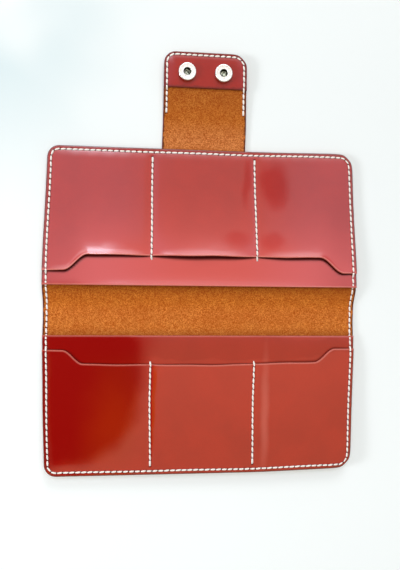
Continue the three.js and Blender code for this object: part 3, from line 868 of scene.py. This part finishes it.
def turned(name, profile, x, y, segments=SEGMENTS, petals=0):
    """A part turned about the vertical, from [radius, height] points that run up its outside."""
    points, faces = [], []
    spin = np.linspace(0, 2 * math.pi, segments, endpoint=False)
    for radius, height in profile:
        split = SPLIT * (radius > SPLIT_FROM) * (height > 1) * (petals > 0)
        for a in spin:
            out = radius * (1 - split * (1 + math.cos(petals * a)) / 2)
            points.append((x + out * math.cos(a), y + out * math.sin(a), height))
    for r in range(len(profile) - 1):
        for s in range(segments):
            a, b = r * segments + s, r * segments + (s + 1) % segments
            faces.append((a, b, b + segments, a + segments))
    last = (len(profile) - 1) * segments
    if profile[0] == profile[-1]:
        points = points[:last]
        faces = [tuple(i % last for i in f) for f in faces]
    else:
        faces.append(tuple(reversed(range(segments))))
        faces.append(tuple(last + i for i in range(segments)))
    return mesh_object(name, points, faces, points, soft=False)


def bead(radius, height, size, start, end, count=7):
    """Points of a rolled edge in a profile."""
    angles = np.radians(np.linspace(start, end, count))
    return [(radius + size * math.cos(a), height + size * math.sin(a)) for a in angles]


# %% Profiles of the snaps
SNAP_RADIUS = 6.2
SOCKET_BASE = LINING_TOP + 0.1
SOCKET_FACE = SOCKET_BASE + 3.0
BORE, THROAT, GROOVE = 2.65, 3.1, 4.3
POST_HOLE = 1.9
CAP_RIM, CAP_RISE = -0.1, 2.2
BULB_Z = -2.74
socket_profile = (
    [(POST_HOLE, SOCKET_BASE), (5.9, SOCKET_BASE), (SNAP_RADIUS, SOCKET_BASE + 0.3),
     (SNAP_RADIUS, SOCKET_FACE - 0.6)]
    + bead(5.7, SOCKET_FACE - 0.5, 0.5, 0, 100)
    + [(4.6, SOCKET_FACE - 0.03), (3.6, SOCKET_FACE - 0.08)]
    + bead(2.92, SOCKET_FACE - 0.32, 0.27, 80, 180)
    + [(BORE, SOCKET_FACE - 0.45), (GROOVE, SOCKET_FACE - 0.47), (GROOVE, SOCKET_BASE + 1.5),
       (THROAT, SOCKET_BASE + 1.5), (THROAT, SOCKET_BASE + 0.5), (POST_HOLE, SOCKET_BASE + 0.5),
       (POST_HOLE, SOCKET_BASE)])
# the last rings of the socket's faces, below the bore's lip, which are darkened as painted shade
BORE_SHADE_RINGS = 7
cap_profile = [(SNAP_RADIUS, CAP_RIM)]
cap_profile += [(SNAP_RADIUS * math.sin(a), CAP_RIM - CAP_RISE * (0.25 + 0.75 * math.cos(a)))
                for a in np.radians([90, 80, 68, 55, 42, 28, 14])]
cap_profile += [(0.02, CAP_RIM - CAP_RISE)]
stud_profile = [(5.5, -0.1), (5.5, -0.45), (5.1, -0.9), (2.1, -0.9), (1.9, -1.1), (1.9, -2.4)]
stud_profile += [(1.9 + 0.4 * math.sin(a), BULB_Z + 0.3 * math.cos(a))
                 for a in np.radians([20, 50, 90, 130, 160])]
stud_profile += [(1.75, -3.1), (1.35, -3.15), (1.25, -3.05), (0.02, -3.05)]
post_profile = [(1.6, -0.3)] + [(radius, SOCKET_BASE + height) for radius, height in (
    (1.6, 0.5), (2.4, 0.53), (2.45, 0.62), (1.9, 0.82), (1.1, 0.66), (0.02, 0.56))]

# %% Turn the snaps
snaps = {}
for word, x in (("left", -SNAP_X), ("right", SNAP_X)):
    snaps["socket", word] = turned(f"snap_socket_{word}_ring", socket_profile, x, SOCKET_Y)
    snaps["cap", word] = turned(f"snap_cap_{word}_dome", cap_profile[::-1], x, SOCKET_Y)
    snaps["post", word] = turned(
        f"snap_post_{word}_clinch", post_profile, x, SOCKET_Y, segments=60, petals=5)
    snaps["stud", word] = turned(f"stud_{word}_turning", stud_profile[::-1], x, STUD_Y)
unshaded_faces = (len(socket_profile) - 1 - BORE_SHADE_RINGS) * SEGMENTS
for (kind, word), part in snaps.items():
    if kind == "socket":
        # faces below the bore's lip get the dark nickel of painted shade
        dull = np.arange(len(part.data.polygons)) >= unshaded_faces
        part.data.polygons.foreach_set("material_index", dull.astype(int))
print("snaps:", sorted(" ".join(k) for k in snaps))

# %% [markdown]
# ## Effects that several finishes share
#
# Grain, cloudy dye, burnished edges and nap appear in more than one material, so each is a node
# group that is built once. A group only gives out heights and masks. The shader, and anything that
# is the same all over, stays in each material.


# %% Node helpers
def add_node(tree, kind, inputs=None, **settings):
    made = tree.nodes.new("ShaderNode" + kind)
    for name, value in settings.items():
        setattr(made, name, value)
    for name, value in (inputs or {}).items():
        if isinstance(value, bpy.types.NodeSocket):
            tree.links.new(value, made.inputs[name])
        else:
            made.inputs[name].default_value = value
    return made


def maths(tree, operation, *values):
    return add_node(tree, "Math", dict(enumerate(values)), operation=operation).outputs[0]


def vector_maths(tree, operation, first, second):
    inputs = {0: first, 1: second}
    return add_node(tree, "VectorMath", inputs, operation=operation).outputs[0]


def length(tree, vector):
    return add_node(tree, "VectorMath", {0: vector}, operation="LENGTH").outputs["Value"]


def fade(tree, value, low, high, to_low=0.0, to_high=1.0):
    """A smooth step from low to high."""
    node = add_node(tree, "MapRange", {"Value": value, "From Min": low, "From Max": high,
                                       "To Min": to_low, "To Max": to_high},
                    interpolation_type="SMOOTHSTEP")
    return node.outputs["Result"]


def fade_straight(tree, value, low, high):
    node = add_node(tree, "MapRange", {"Value": value, "From Min": low, "From Max": high})
    return node.outputs["Result"]


def blend_colour(tree, share, first, second, way="MIX"):
    # the Mix node has sockets for every kind of value: 6, 7 and 2 are those for colours
    node = add_node(tree, "Mix", {0: share, 6: first, 7: second}, data_type="RGBA", blend_type=way)
    return node.outputs[2]


def tinted(tree, colour, mask, share, tint):
    """A colour with a tint laid over it, at some share, where a mask says."""
    return blend_colour(tree, maths(tree, "MULTIPLY", mask, share), colour, tint)


def new_group(name, inputs, outputs):
    """An empty node group. inputs are (name, kind, default), and outputs the names of numbers."""
    group = bpy.data.node_groups.new(name, "ShaderNodeTree")
    for label, kind, default in inputs:
        socket = group.interface.new_socket(label, in_out="INPUT", socket_type=kind)
        if default is not None:
            socket.default_value = default
    for label in outputs:
        group.interface.new_socket(label, in_out="OUTPUT", socket_type="NodeSocketFloat")
    return group, group.nodes.new("NodeGroupInput"), group.nodes.new("NodeGroupOutput")


def use_group(tree, group, inputs):
    return add_node(tree, "Group", inputs, node_tree=group).outputs


def srgb(red, green, blue):
    """A colour as it shows on a screen, 0 to 255, as the numbers that nodes take."""
    def straight(c):
        c /= 255
        return c / 12.92 if c <= 0.04045 else ((c + 0.055) / 1.055) ** 2.4
    return (straight(red), straight(green), straight(blue), 1)


# %% Groups for grain, dye, burnished edges and nap
VECTOR, NUMBER = "NodeSocketVector", "NodeSocketFloat"

grain, here, out = new_group("Leather grain", [("Place", VECTOR, None), ("Cell", NUMBER, 0.7)],
                             ["Height"])
size = maths(grain, "DIVIDE", 1.0, here.outputs["Cell"])
cells = add_node(grain, "TexVoronoi", {"Vector": here.outputs["Place"], "Scale": size},
                 feature="DISTANCE_TO_EDGE")
lumps = add_node(grain, "TexNoise",
                 {"Vector": here.outputs["Place"], "Scale": size, "Detail": 5.0})
edges = fade(grain, cells.outputs["Distance"], 0.0, 0.18)
height = maths(grain, "ADD", maths(grain, "MULTIPLY", edges, 0.5),
               maths(grain, "MULTIPLY", lumps.outputs[0], 0.6))
grain.links.new(height, out.inputs["Height"])

dye, here, out = new_group("Cloudy dye", [("Place", VECTOR, None), ("Patch", NUMBER, 28.0)],
                           ["Cloud", "Speckle"])
size = maths(dye, "DIVIDE", 1.0, here.outputs["Patch"])
cloud = add_node(dye, "TexNoise", {"Vector": here.outputs["Place"], "Scale": size, "Detail": 4.0,
                                   "Roughness": 0.55})
speckle = add_node(dye, "TexNoise",
                   {"Vector": here.outputs["Place"], "Scale": 1.6, "Detail": 3.0})
dye.links.new(fade(dye, cloud.outputs[0], 0.32, 0.68), out.inputs["Cloud"])
dye.links.new(fade(dye, speckle.outputs[0], 0.35, 0.7), out.inputs["Speckle"])

burnish, here, out = new_group("Burnished edge", [
    ("Place", VECTOR, None), ("Distance", NUMBER, 0.0), ("Reach", NUMBER, 2.0)], ["Mask"])
uneven = add_node(burnish, "TexNoise",
                  {"Vector": here.outputs["Place"], "Scale": 0.35, "Detail": 3.0})
reach = maths(burnish, "MULTIPLY", here.outputs["Reach"],
              fade(burnish, uneven.outputs[0], 0.3, 0.7, 0.7, 1.3))
share = maths(burnish, "DIVIDE", here.outputs["Distance"], reach)
burnish.links.new(fade(burnish, share, 0.35, 1.0, 1.0, 0.0), out.inputs["Mask"])

nap, here, out = new_group("Napped fibres", [("Place", VECTOR, None), ("Length", NUMBER, 1.0)],
                           ["Height", "Tuft"])
swirl = add_node(nap, "TexNoise", {"Vector": here.outputs["Place"], "Scale": 0.25, "Detail": 2.0})
turning = add_node(nap, "VectorRotate", {"Vector": here.outputs["Place"],
                                         "Angle": maths(nap, "MULTIPLY", swirl.outputs[0], 9.0)},
                   rotation_type="Z_AXIS")
stretch = add_node(nap, "Mapping", {"Vector": turning.outputs[0], "Scale": (1.0, 0.32, 1.0)})
fibres = add_node(nap, "TexNoise", {"Vector": stretch.outputs[0], "Detail": 6.0, "Roughness": 0.7,
                                    "Scale": maths(nap, "DIVIDE", 2.4, here.outputs["Length"])})
tufts = add_node(nap, "TexNoise", {"Vector": here.outputs["Place"], "Detail": 4.0,
                                   "Roughness": 0.65,
                                   "Scale": maths(nap, "DIVIDE", 1.3, here.outputs["Length"])})
nap.links.new(fibres.outputs[0], out.inputs["Height"])
mixed = maths(nap, "ADD", maths(nap, "MULTIPLY", fibres.outputs[0], 0.5),
              maths(nap, "MULTIPLY", tufts.outputs[0], 0.5))
nap.links.new(fade(nap, mixed, 0.43, 0.57), out.inputs["Tuft"])

patch, here, out = new_group("Soft patch", [
    ("Place", VECTOR, None), ("Middle", VECTOR, (0, 0, 0)), ("Reach", VECTOR, (1, 1, 1)),
    ("Core", NUMBER, 0.6), ("Wander", NUMBER, 12.0)], ["Mask"])
wander = add_node(patch, "TexNoise",
                  {"Vector": here.outputs["Place"], "Scale": 0.05, "Detail": 2.0})

shift = vector_maths(patch, "SUBTRACT", wander.outputs["Color"], (0.5, 0.5, 0.5))
shift = add_node(patch, "VectorMath", {0: shift, "Scale": here.outputs["Wander"]},
                 operation="SCALE").outputs[0]
spot = vector_maths(patch, "ADD", here.outputs["Place"], shift)
spot = vector_maths(patch, "SUBTRACT", spot, here.outputs["Middle"])
spot = vector_maths(patch, "DIVIDE", spot, here.outputs["Reach"])
spot = vector_maths(patch, "MULTIPLY", spot, (1, 1, 0))
patch.links.new(fade(patch, length(patch, spot), here.outputs["Core"], 1.0, 1.0, 0.0), out.inputs["Mask"])
print("groups:", [g.name for g in (grain, dye, burnish, nap, patch)])

# %% [markdown]
# ## Finishes
#
# The polished grain is a deep red under a clear wax: a coat over the leather gives the second,
# sharper reflection that makes it look wet where a lamp is mirrored. The flesh side has no shine at
# all, only fibres. Edges are rubbed to a dark, closed brown.


# %% Material helpers
def new_material(name):
    """A material, its node tree and shader, and the places of the flat layout in it."""
    made = bpy.data.materials.new(name)
    made.use_nodes = True
    tree = made.node_tree
    place = add_node(tree, "Attribute", attribute_name="flat").outputs["Vector"]
    return made, tree, tree.nodes["Principled BSDF"], place


def attribute(tree, name):
    return add_node(tree, "Attribute", attribute_name=name).outputs["Fac"]


def bump(tree, shader, height, depth, strength=1.0):
    node = add_node(tree, "Bump", {"Height": height, "Distance": depth * MM, "Strength": strength})
    tree.links.new(node.outputs[0], shader.inputs["Normal"])


def soft_patch(tree, place, middle, reach, core, wander=12.0):
    return use_group(tree, patch, {"Place": place, "Middle": (*middle, 0), "Reach": (*reach, 1),
                                   "Core": core, "Wander": wander})["Mask"]


# %% Red leather
SPECKLED = srgb(140, 16, 8)
HANDLED_AND_SHEEN = srgb(212, 54, 48)
SUNK_IN_AND_DARK_REFLECTION = srgb(146, 2, 0)
# the colour of the painted shadow under the front pockets' lips
PAINTED_LIP_SHADOW = srgb(72, 5, 3)
CUT_EDGE = srgb(196, 84, 70)
# the tint of a painted highlight along the mouths' edges
EDGE_HIGHLIGHT_TINT = srgb(240, 150, 136)


def red_leather(name, deep, bright, brown, wax, marks=(), shines=()):
    made, tree, shader, place = new_material(name)
    fine = use_group(tree, grain, {"Place": place, "Cell": 0.55})
    clouds = use_group(tree, dye, {"Place": place, "Patch": 26.0})
    rim = use_group(tree, burnish,
                    {"Place": place, "Distance": attribute(tree, "edge"), "Reach": 2.0})
    raw, wear_and_sheen, shaded = (attribute(tree, mark) for mark in ("raw", "wear_and_sheen", "shaded"))
    colour = blend_colour(tree, clouds["Cloud"], deep, bright)
    colour = tinted(tree, colour, clouds["Speckle"], 0.15, SPECKLED)
    # wear from hands and a painted sheen lighten the leather towards the mouths
    colour = tinted(tree, colour, wear_and_sheen, 0.9, HANDLED_AND_SHEEN)
    bare = 0.0
    # the first mark is a painted dark reflection, darker and duller; the others are stains where the wax
    # has sunk in
    for middle, reach, core, dark, dull in marks:
        mark = soft_patch(tree, place, middle, reach, core)
        colour = tinted(tree, colour, mark, dark, SUNK_IN_AND_DARK_REFLECTION)
        bare = maths(tree, "MAXIMUM", bare, maths(tree, "MULTIPLY", mark, dull))
    # the first of these is a painted sheen streak, the second an amber patch
    for middle, reach, core, depth, wander, tint in shines:
        shine = soft_patch(tree, place, middle, reach, core, wander)
        colour = tinted(tree, colour, shine, depth, tint)
    # painted shadow under the front pockets' lips
    colour = blend_colour(tree, shaded, colour, PAINTED_LIP_SHADOW)
    colour = tinted(tree, colour, rim["Mask"], 0.75, brown)
    colour = tinted(tree, colour, raw, 0.4, CUT_EDGE)
    # a painted highlight along the mouths' raw edges, strongest where the leather is lighter
    polished = maths(tree, "MULTIPLY", raw, fade_straight(tree, wear_and_sheen, -0.25, 0.45))
    colour = tinted(tree, colour, polished, 0.55, EDGE_HIGHLIGHT_TINT)
    tree.links.new(colour, shader.inputs["Base Color"])

    # hands polish the wax a little; it is gone where it has sunk in, on the painted dark reflection,
    # and under the painted lip shadow
    coat = maths(tree, "MULTIPLY_ADD", wear_and_sheen, wax * 0.2, wax * 0.8)
    for lost in (bare, shaded):
        coat = maths(tree, "MULTIPLY", coat, maths(tree, "SUBTRACT", 1.0, lost))
    tree.links.new(coat, shader.inputs["Coat Weight"])
    rough = fade(tree, clouds["Speckle"], 0, 1, 0.35, 0.5)
    tree.links.new(rough, shader.inputs["Roughness"])
    shader.inputs["Specular IOR Level"].default_value = 0.05
    shader.inputs["Coat Roughness"].default_value = 0.08
    shader.inputs["Coat IOR"].default_value = 1.8
    bump(tree, shader, fine["Height"], 0.02, 0.6)
    return made


# middle, reach, share that is even, and how dark and how dull, of places where the wax has sunk
# in; the first, over the lower left pocket, is a painted dark reflection
SUNKEN_AND_DARK_REFLECTION = [((-100, -45), (67, 70), 0.78, 0.9, 0.85), ((0, -26), (130, 9), 0.85, 0.25, 0.1),
          ((51, 91), (15, 21), 0.35, 0.08, 0.55), ((31, 92), (5, 22), 0.3, 0.12, 0.4),
          ((23, 52), (14, 9), 0.3, 0.05, 0.35), ((48, 50), (12, 9), 0.3, 0.05, 0.4)]
# the same, with how much the border wanders and the tint, for a painted sheen streak beside the
# lower right divider and an amber patch
SHEEN_STREAK_AND_AMBER_PATCH = [((45, -72), (4.5, 60), 0.1, 0.3, 3.0, srgb(226, 120, 108)),
            ((-62, -78), (32, 42), 0.0, 0.62, 16.0, srgb(168, 32, 0))]
pocket_grain = red_leather("pocket grain", srgb(172, 15, 6), srgb(181, 20, 8),
                           srgb(118, 16, 12), 1.0, SUNKEN_AND_DARK_REFLECTION, SHEEN_STREAK_AND_AMBER_PATCH)
lining_grain = red_leather("lining grain", srgb(158, 18, 12), srgb(166, 24, 14),
                           srgb(104, 16, 12), 0.5)
outer_grain = red_leather("outer grain", srgb(158, 22, 12), srgb(168, 28, 14),
                          srgb(84, 20, 12), 0.8)
print("red leathers:", [m.name for m in (pocket_grain, lining_grain, outer_grain)])

# %% Flesh side and edges
flesh, tree, shader, place = new_material("flesh side")
fibre = use_group(tree, nap, {"Place": place, "Length": 1.0})
clouds = use_group(tree, dye, {"Place": place, "Patch": 18.0})
rim = use_group(tree, burnish, {"Place": place, "Distance": attribute(tree, "edge"), "Reach": 1.7})
colour = blend_colour(tree, fibre["Tuft"], srgb(180, 76, 2), srgb(242, 158, 74))
colour = tinted(tree, colour, clouds["Cloud"], 0.25, srgb(196, 98, 24))
mottle = use_group(tree, dye, {"Place": place, "Patch": 4.0})["Cloud"]
colour = tinted(tree, colour, mottle, 0.22, srgb(166, 76, 10))
along = add_node(tree, "SeparateXYZ", {"Vector": place}).outputs["Y"]
# painted shade: how much of its red, green and blue the bare leather keeps, at places from the fold
# to the strap's tip; darker beside both back pockets' mouths, most under the upper one, where its
# shadow falls, and along the strap, to hold back the brighter light there
SHADE_FROM, SHADE_TO = -20, 160
SHADE_TONES = [(-18, 0.66, 0.62, 0.62), (-11, 0.95, 0.92, 0.9), (-4, 0.96, 0.9, 0.86),
         (8, 0.9, 0.82, 0.52), (18, 0.56, 0.46, 0.2), (112, 0.86, 0.82, 0.7),
         (120, 0.84, 0.8, 0.68), (135, 0.78, 0.72, 0.55), (156, 0.67, 0.6, 0.45)]
shade_ramp = add_node(tree, "ValToRGB", {"Fac": fade_straight(tree, along, SHADE_FROM, SHADE_TO)})
shade_ramp.color_ramp.interpolation = "EASE"
for y, *tone in SHADE_TONES:
    stop = shade_ramp.color_ramp.elements.new((y - SHADE_FROM) / (SHADE_TO - SHADE_FROM))
    stop.color = (*tone, 1)
shade_ramp.color_ramp.elements.remove(shade_ramp.color_ramp.elements[0])
# the painted shade darkens the flesh side
colour = blend_colour(tree, 1.0, colour, shade_ramp.outputs[0], "MULTIPLY")
root = maths(tree, "MULTIPLY", fade(tree, along, 112, 116), fade(tree, along, 118, 138, 1, 0))
pale = blend_colour(tree, fibre["Tuft"], srgb(168, 80, 24), srgb(242, 160, 100))
colour = tinted(tree, colour, root, 0.6, pale)
colour = blend_colour(tree, rim["Mask"], colour, srgb(84, 34, 16))
tree.links.new(colour, shader.inputs["Base Color"])
shader.inputs["Roughness"].default_value = 0.95
shader.inputs["Specular IOR Level"].default_value = 0.2
shader.inputs["Sheen Weight"].default_value = 0.03
shader.inputs["Sheen Roughness"].default_value = 0.5
bump(tree, shader, fibre["Height"], 0.25, 0.8)

edge_finish, tree, shader, place = new_material("cut and burnished edge")
fibre = use_group(tree, nap, {"Place": place, "Length": 0.5})
raw = attribute(tree, "raw")
burnt = blend_colour(tree, fibre["Tuft"], srgb(92, 22, 14), srgb(130, 38, 26))
bare = blend_colour(tree, fibre["Tuft"], srgb(178, 72, 60), srgb(208, 108, 92))
tree.links.new(blend_colour(tree, raw, burnt, bare), shader.inputs["Base Color"])
tree.links.new(fade(tree, raw, 0, 1, 0.32, 0.6), shader.inputs["Roughness"])
bump(tree, shader, fibre["Height"], 0.05, 0.5)

# %% Thread
waxed_thread, tree, shader, place = new_material("waxed thread")
ply = attribute(tree, "ply")
fuzz = add_node(tree, "TexNoise", {"Vector": place, "Scale": 9.0, "Detail": 3.0}).outputs[0]
# painted shade: the furrows between the plies are a little darker
furrow = fade(tree, ply, -1.0, 0.2, 0.0, 1.0)
colour = blend_colour(tree, furrow, srgb(250, 244, 232), srgb(255, 255, 253))
# painted shade on the thread's ends, where they dive into their holes
colour = blend_colour(tree, attribute(tree, "sunk"), colour, srgb(112, 34, 22))
tree.links.new(colour, shader.inputs["Base Color"])
shader.inputs["Roughness"].default_value = 0.55
bump(tree, shader, fuzz, 0.05, 0.4)

# painted shade: the dark of the holes that the thread dives into
slit, tree, shader, place = new_material("stitch slit")
shade = add_node(tree, "TexNoise", {"Vector": place, "Scale": 1.2}).outputs[0]
colour = blend_colour(tree, shade, srgb(70, 8, 4), srgb(104, 16, 8))
tree.links.new(colour, shader.inputs["Base Color"])
shader.inputs["Roughness"].default_value = 0.9
shader.inputs["Specular IOR Level"].default_value = 0.1


# %% Metals
def metal(name, dark, light, low, high, even=0.5):
    """Worn metal between two colours and two roughnesses. A low even parts the colours sharply."""
    made, tree, shader, _ = new_material(name)
    coords = add_node(tree, "TexCoord").outputs["Object"]
    worn = add_node(tree, "TexNoise",
                    {"Vector": coords, "Scale": 900.0, "Detail": 5.0}).outputs[0]
    colour = blend_colour(tree, fade(tree, worn, 0.5 - even, 0.5 + even), dark, light)
    tree.links.new(colour, shader.inputs["Base Color"])
    tree.links.new(fade(tree, worn, 0.3, 0.7, low, high), shader.inputs["Roughness"])
    shader.inputs["Metallic"].default_value = 1.0
    bump(tree, shader, worn, 0.01, 0.1)
    return made


nickel = metal("polished nickel", srgb(216, 216, 213), srgb(240, 240, 238), 0.12, 0.26)
spring_wire = metal("spring wire", srgb(120, 124, 100), srgb(160, 162, 138), 0.3, 0.45)
# painted shade: a dark nickel inside the sockets' bores
bore_shade_nickel = metal("bore_shaded nickel", srgb(40, 42, 34), srgb(74, 76, 62), 0.4, 0.6)
clinched = metal("clinched post", srgb(44, 47, 38), srgb(190, 194, 176), 0.3, 0.5, 0.07)

# %% Give each piece its finish
for leaf in (cover_fold, cover_lower, cover_root, cover_tip):
    for finish in (flesh, edge_finish, outer_grain):
        leaf.data.materials.append(finish)
for pocket in pockets.values():
    for finish in (pocket_grain, edge_finish, flesh):
        pocket.data.materials.append(finish)
for finish in (lining_grain, edge_finish, flesh):
    lining.data.materials.append(finish)
for seam in seams.values():
    seam.data.materials.append(waxed_thread)
    seam.data.materials.append(slit)
for (kind, word), part in snaps.items():
    part.data.materials.append(clinched if kind == "post" else nickel)
    if kind == "socket":
        part.data.materials.append(bore_shade_nickel)
for node, part in frame["nodes"].items():
    part.data.materials.clear()
    part.data.materials.append(spring_wire if "spring" in node else nickel)

# %% [markdown]
# ## What moves with what
# The pockets ride on their halves. The leaves of the cover, and the stitches that cross the fold,
# stay where they lie and ride on no body. Only bare leather bends: between the pockets' mouths,
# and on the strap between the panel's edge and the first stitch.


# %% Ride and replace
def at_rest(y):
    """A place on the cover's middle line, for the ends of a bend."""
    return tuple(settle([[0, y, CREASE_HEIGHT]])[0])


def bends(piece, first, second, start, end, slot):
    at_rest(start)
    at_rest(end)
    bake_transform(piece)


FOLD_BEND = (BLEND_REACH, 0.2)
ROOT_BEND = (EDGE + 0.3, EDGE + 5.2)
WRAP_BEND = (STRAP_CREASES[1] - 4.4, STRAP_CREASES[1] + 4.4)
bends(cover_fold, "upper_half", "spine", *FOLD_BEND, "cover_flesh")
bends(cover_lower, "lower_half", "spine", *(-y for y in FOLD_BEND), "cover_flesh")
bends(cover_root, "upper_half", "strap_middle", *ROOT_BEND, "cover_flesh")
bends(cover_tip, "strap_middle", "strap_end", *WRAP_BEND, "cover_flesh")
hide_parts("cover_upper", "cover_spine")
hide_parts("cover_lower")
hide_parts("strap_bend")
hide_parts("strap_tip")

for tag in ("", "_outer"):
    bends(seams[f"perimeter_stitches_fold{tag}"], "upper_half", "spine", *FOLD_BEND, "thread")
    bends(seams[f"perimeter_stitches_hem{tag}"], "lower_half", "spine",
          *(-y for y in FOLD_BEND), "thread")
    for word in ("upper", "lower"):
        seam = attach(seams[f"perimeter_stitches_{word}{tag}"], f"{word}_half")
    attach(seams[f"strap_stitches{tag}"], "strap_end")
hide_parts("strap_thread")
for word in ("upper", "lower"):
    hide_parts(f"perimeter_thread_{word}")
    for kind in ("back", "front"):
        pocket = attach(pockets[kind, word], f"{word}_half")
        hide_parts(f"{kind}_pocket_{word}")
    for i in (1, 2):
        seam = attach(seams[f"divider_stitches_{word}_{i}"], f"{word}_half")
        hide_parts(f"divider_thread_{word}_{i}")
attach(lining, "strap_end")
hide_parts("strap_lining")
for (kind, word), part in snaps.items():
    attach(part, "lower_half" if kind == "stud" else "strap_end")
    if kind != "post":
        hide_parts(f"stud_{word}" if kind == "stud" else f"snap_{kind}_{word}")

# %% [markdown]
# ## Table, light and camera
#
# The table is plain and pale, with one soft, slightly darker place beyond the holder: painted shade
# of a fold in the cloth. Two windows light it, one beyond the strap and a smaller one on the left,
# and give the short shadows. Polished leather shows what it mirrors, so the room overhead isn't
# even: a window lies across the upper pockets, with a brighter pane in it, and dark places fall on
# the lower left pocket.

# %% Table
TABLE_SIDE = 3
table_mesh = bpy.data.meshes.new("table")
table_mesh.from_pydata([(TABLE_SIDE * x, TABLE_SIDE * y, 0)
                        for x, y in ((-1, -1), (1, -1), (1, 1), (-1, 1))], [], [(0, 1, 2, 3)])
table = bpy.data.objects.new("table", table_mesh)
bpy.context.scene.collection.objects.link(table)
table_finish, tree, shader, _ = new_material("white table")
coords = add_node(tree, "TexCoord").outputs["Object"]
soft = add_node(tree, "TexNoise", {"Vector": coords, "Scale": 7.0, "Detail": 2.0}).outputs[0]
where = add_node(tree, "SeparateXYZ", {"Vector": coords}).outputs
# painted shade of a soft fold in the cloth, beyond the holder on the left
fold_shade = fade(tree, soft, 0.36, 0.58)
for border in (fade(tree, where["X"], -0.5, -0.3), fade(tree, where["X"], -0.16, 0.0, 1, 0),
               fade(tree, where["Y"], 0.02, 0.16), fade(tree, where["Y"], 0.22, 0.36, 1, 0)):
    fold_shade = maths(tree, "MULTIPLY", fold_shade, border)
colour = blend_colour(tree, fold_shade, srgb(243, 249, 252), srgb(214, 231, 237))
tree.links.new(colour, shader.inputs["Base Color"])
# to the camera alone the table is a little brighter on the near side, so that it shows white
glow = maths(tree, "MULTIPLY", add_node(tree, "LightPath").outputs["Is Camera Ray"],
             fade(tree, where["Y"], -0.2, 0.16, 0.12, 0.03))
colour = blend_colour(tree, glow, (0, 0, 0, 1), (1, 1, 1, 1))
tree.links.new(colour, shader.inputs["Emission Color"])
shader.inputs["Emission Strength"].default_value = 1.0
shader.inputs["Roughness"].default_value = 0.9
shader.inputs["Specular IOR Level"].default_value = 0.1
table_mesh.materials.append(table_finish)

# %% Room
# light that comes from each part of the room, as red, green and blue
WALLS = (0.3, 0.31, 0.32, 1)
NEAR_CEILING = (0.9, 0.78, 0.46, 1)
CEILING, WARM_BEAM = (1.22, 1.27, 1.36, 1), (1.16, 1.02, 0.9, 1)
WINDOW, PANE = (3.2, 3.25, 3.4, 1), (7.2, 8.0, 9.2, 1)
# middle, half width and half depth, softness and light of the dark places overhead
DARK = [((-0.135, -0.09), (0.129, 0.15), 0.08, (0.8, 0.46, 0.0, 1)),
        ((-0.16, -0.13), (0.075, 0.13), 0.3, (0.0, 0.0, 0.0, 1)),
        ((-0.09, -0.01), (0.1, 0.06), 0.3, (0.0, 0.0, 0.0, 1))]
world = bpy.data.worlds.new("room")
bpy.context.scene.world = world
world.use_nodes = True
tree = world.node_tree
background = tree.nodes["Background"]
toward = add_node(tree, "TexCoord").outputs["Generated"]
parts = add_node(tree, "SeparateXYZ", {"Vector": toward}).outputs


def beside(x):
    """How far a direction lies to either side of a place across the room."""
    return maths(tree, "ABSOLUTE", maths(tree, "SUBTRACT", parts["X"], x))


overhead = blend_colour(tree, fade(tree, beside(0.12), 0.05, 0.18), WARM_BEAM, CEILING)
overhead = blend_colour(tree, fade(tree, parts["Y"], -0.03, 0.1), NEAR_CEILING, overhead)
window = maths(tree, "MULTIPLY", fade(tree, parts["Y"], 0.24, 0.5),
               fade(tree, parts["Y"], 0.56, 0.66, 1, 0))
window = maths(tree, "MULTIPLY", window, fade(tree, beside(0), 0.3, 0.45, 1, 0))
overhead = blend_colour(tree, window, overhead, WINDOW)
pane = maths(tree, "MULTIPLY", window, fade(tree, beside(-0.08), 0.03, 0.07, 1, 0))
overhead = blend_colour(tree, pane, overhead, PANE)
room = blend_colour(tree, fade(tree, parts["Z"], 0.72, 0.86), WALLS, overhead)
for (x, y), (wide, deep), soft, light in DARK:
    off = vector_maths(tree, "SUBTRACT", toward, Vector((x, y, 1)).normalized())
    off = length(tree, vector_maths(tree, "MULTIPLY", off, (1 / wide, 1 / deep, 1)))
    room = blend_colour(tree, fade(tree, off, 1 - soft, 1 + soft, 1, 0), room, light)
seen = add_node(tree, "LightPath").outputs["Is Camera Ray"]
tree.links.new(blend_colour(tree, seen, room, (1, 1, 1, 1)), background.inputs["Color"])
print("room:", len(tree.nodes), "nodes")


# %% Lamps
def lamp(name, place, width, power):
    light = bpy.data.lights.new(name, "AREA")
    light.shape, light.size, light.energy = "DISK", width, power
    holder = bpy.data.objects.new(name, light)
    bpy.context.scene.collection.objects.link(holder)
    holder.location = place
    holder.rotation_euler = (-holder.location).to_track_quat("-Z", "Y").to_euler()


lamp("window beyond the strap", (0.1, 1.05, 0.85), 0.55, 4.5)
lamp("window on the left", (-0.95, -0.1, 0.52), 0.3, 4.2)

# %% Camera
# the camera hangs 40 cm over the fold and looks almost straight down
LENS, SENSOR = 35.607, 36.0
VIEWPOINT = (-0.04305, -0.01532, 0.4)
TILT = (-0.135, -5.931, 0.644)
camera = bpy.data.cameras.new("camera")
camera.sensor_fit, camera.sensor_height, camera.lens = "VERTICAL", SENSOR, LENS
viewer = bpy.data.objects.new("camera", camera)
bpy.context.scene.collection.objects.link(viewer)
viewer.location = VIEWPOINT
viewer.rotation_euler = Euler([math.radians(a) for a in TILT], "XYZ")
bpy.context.scene.camera = viewer
bpy.context.scene.view_settings.view_transform = "Standard"
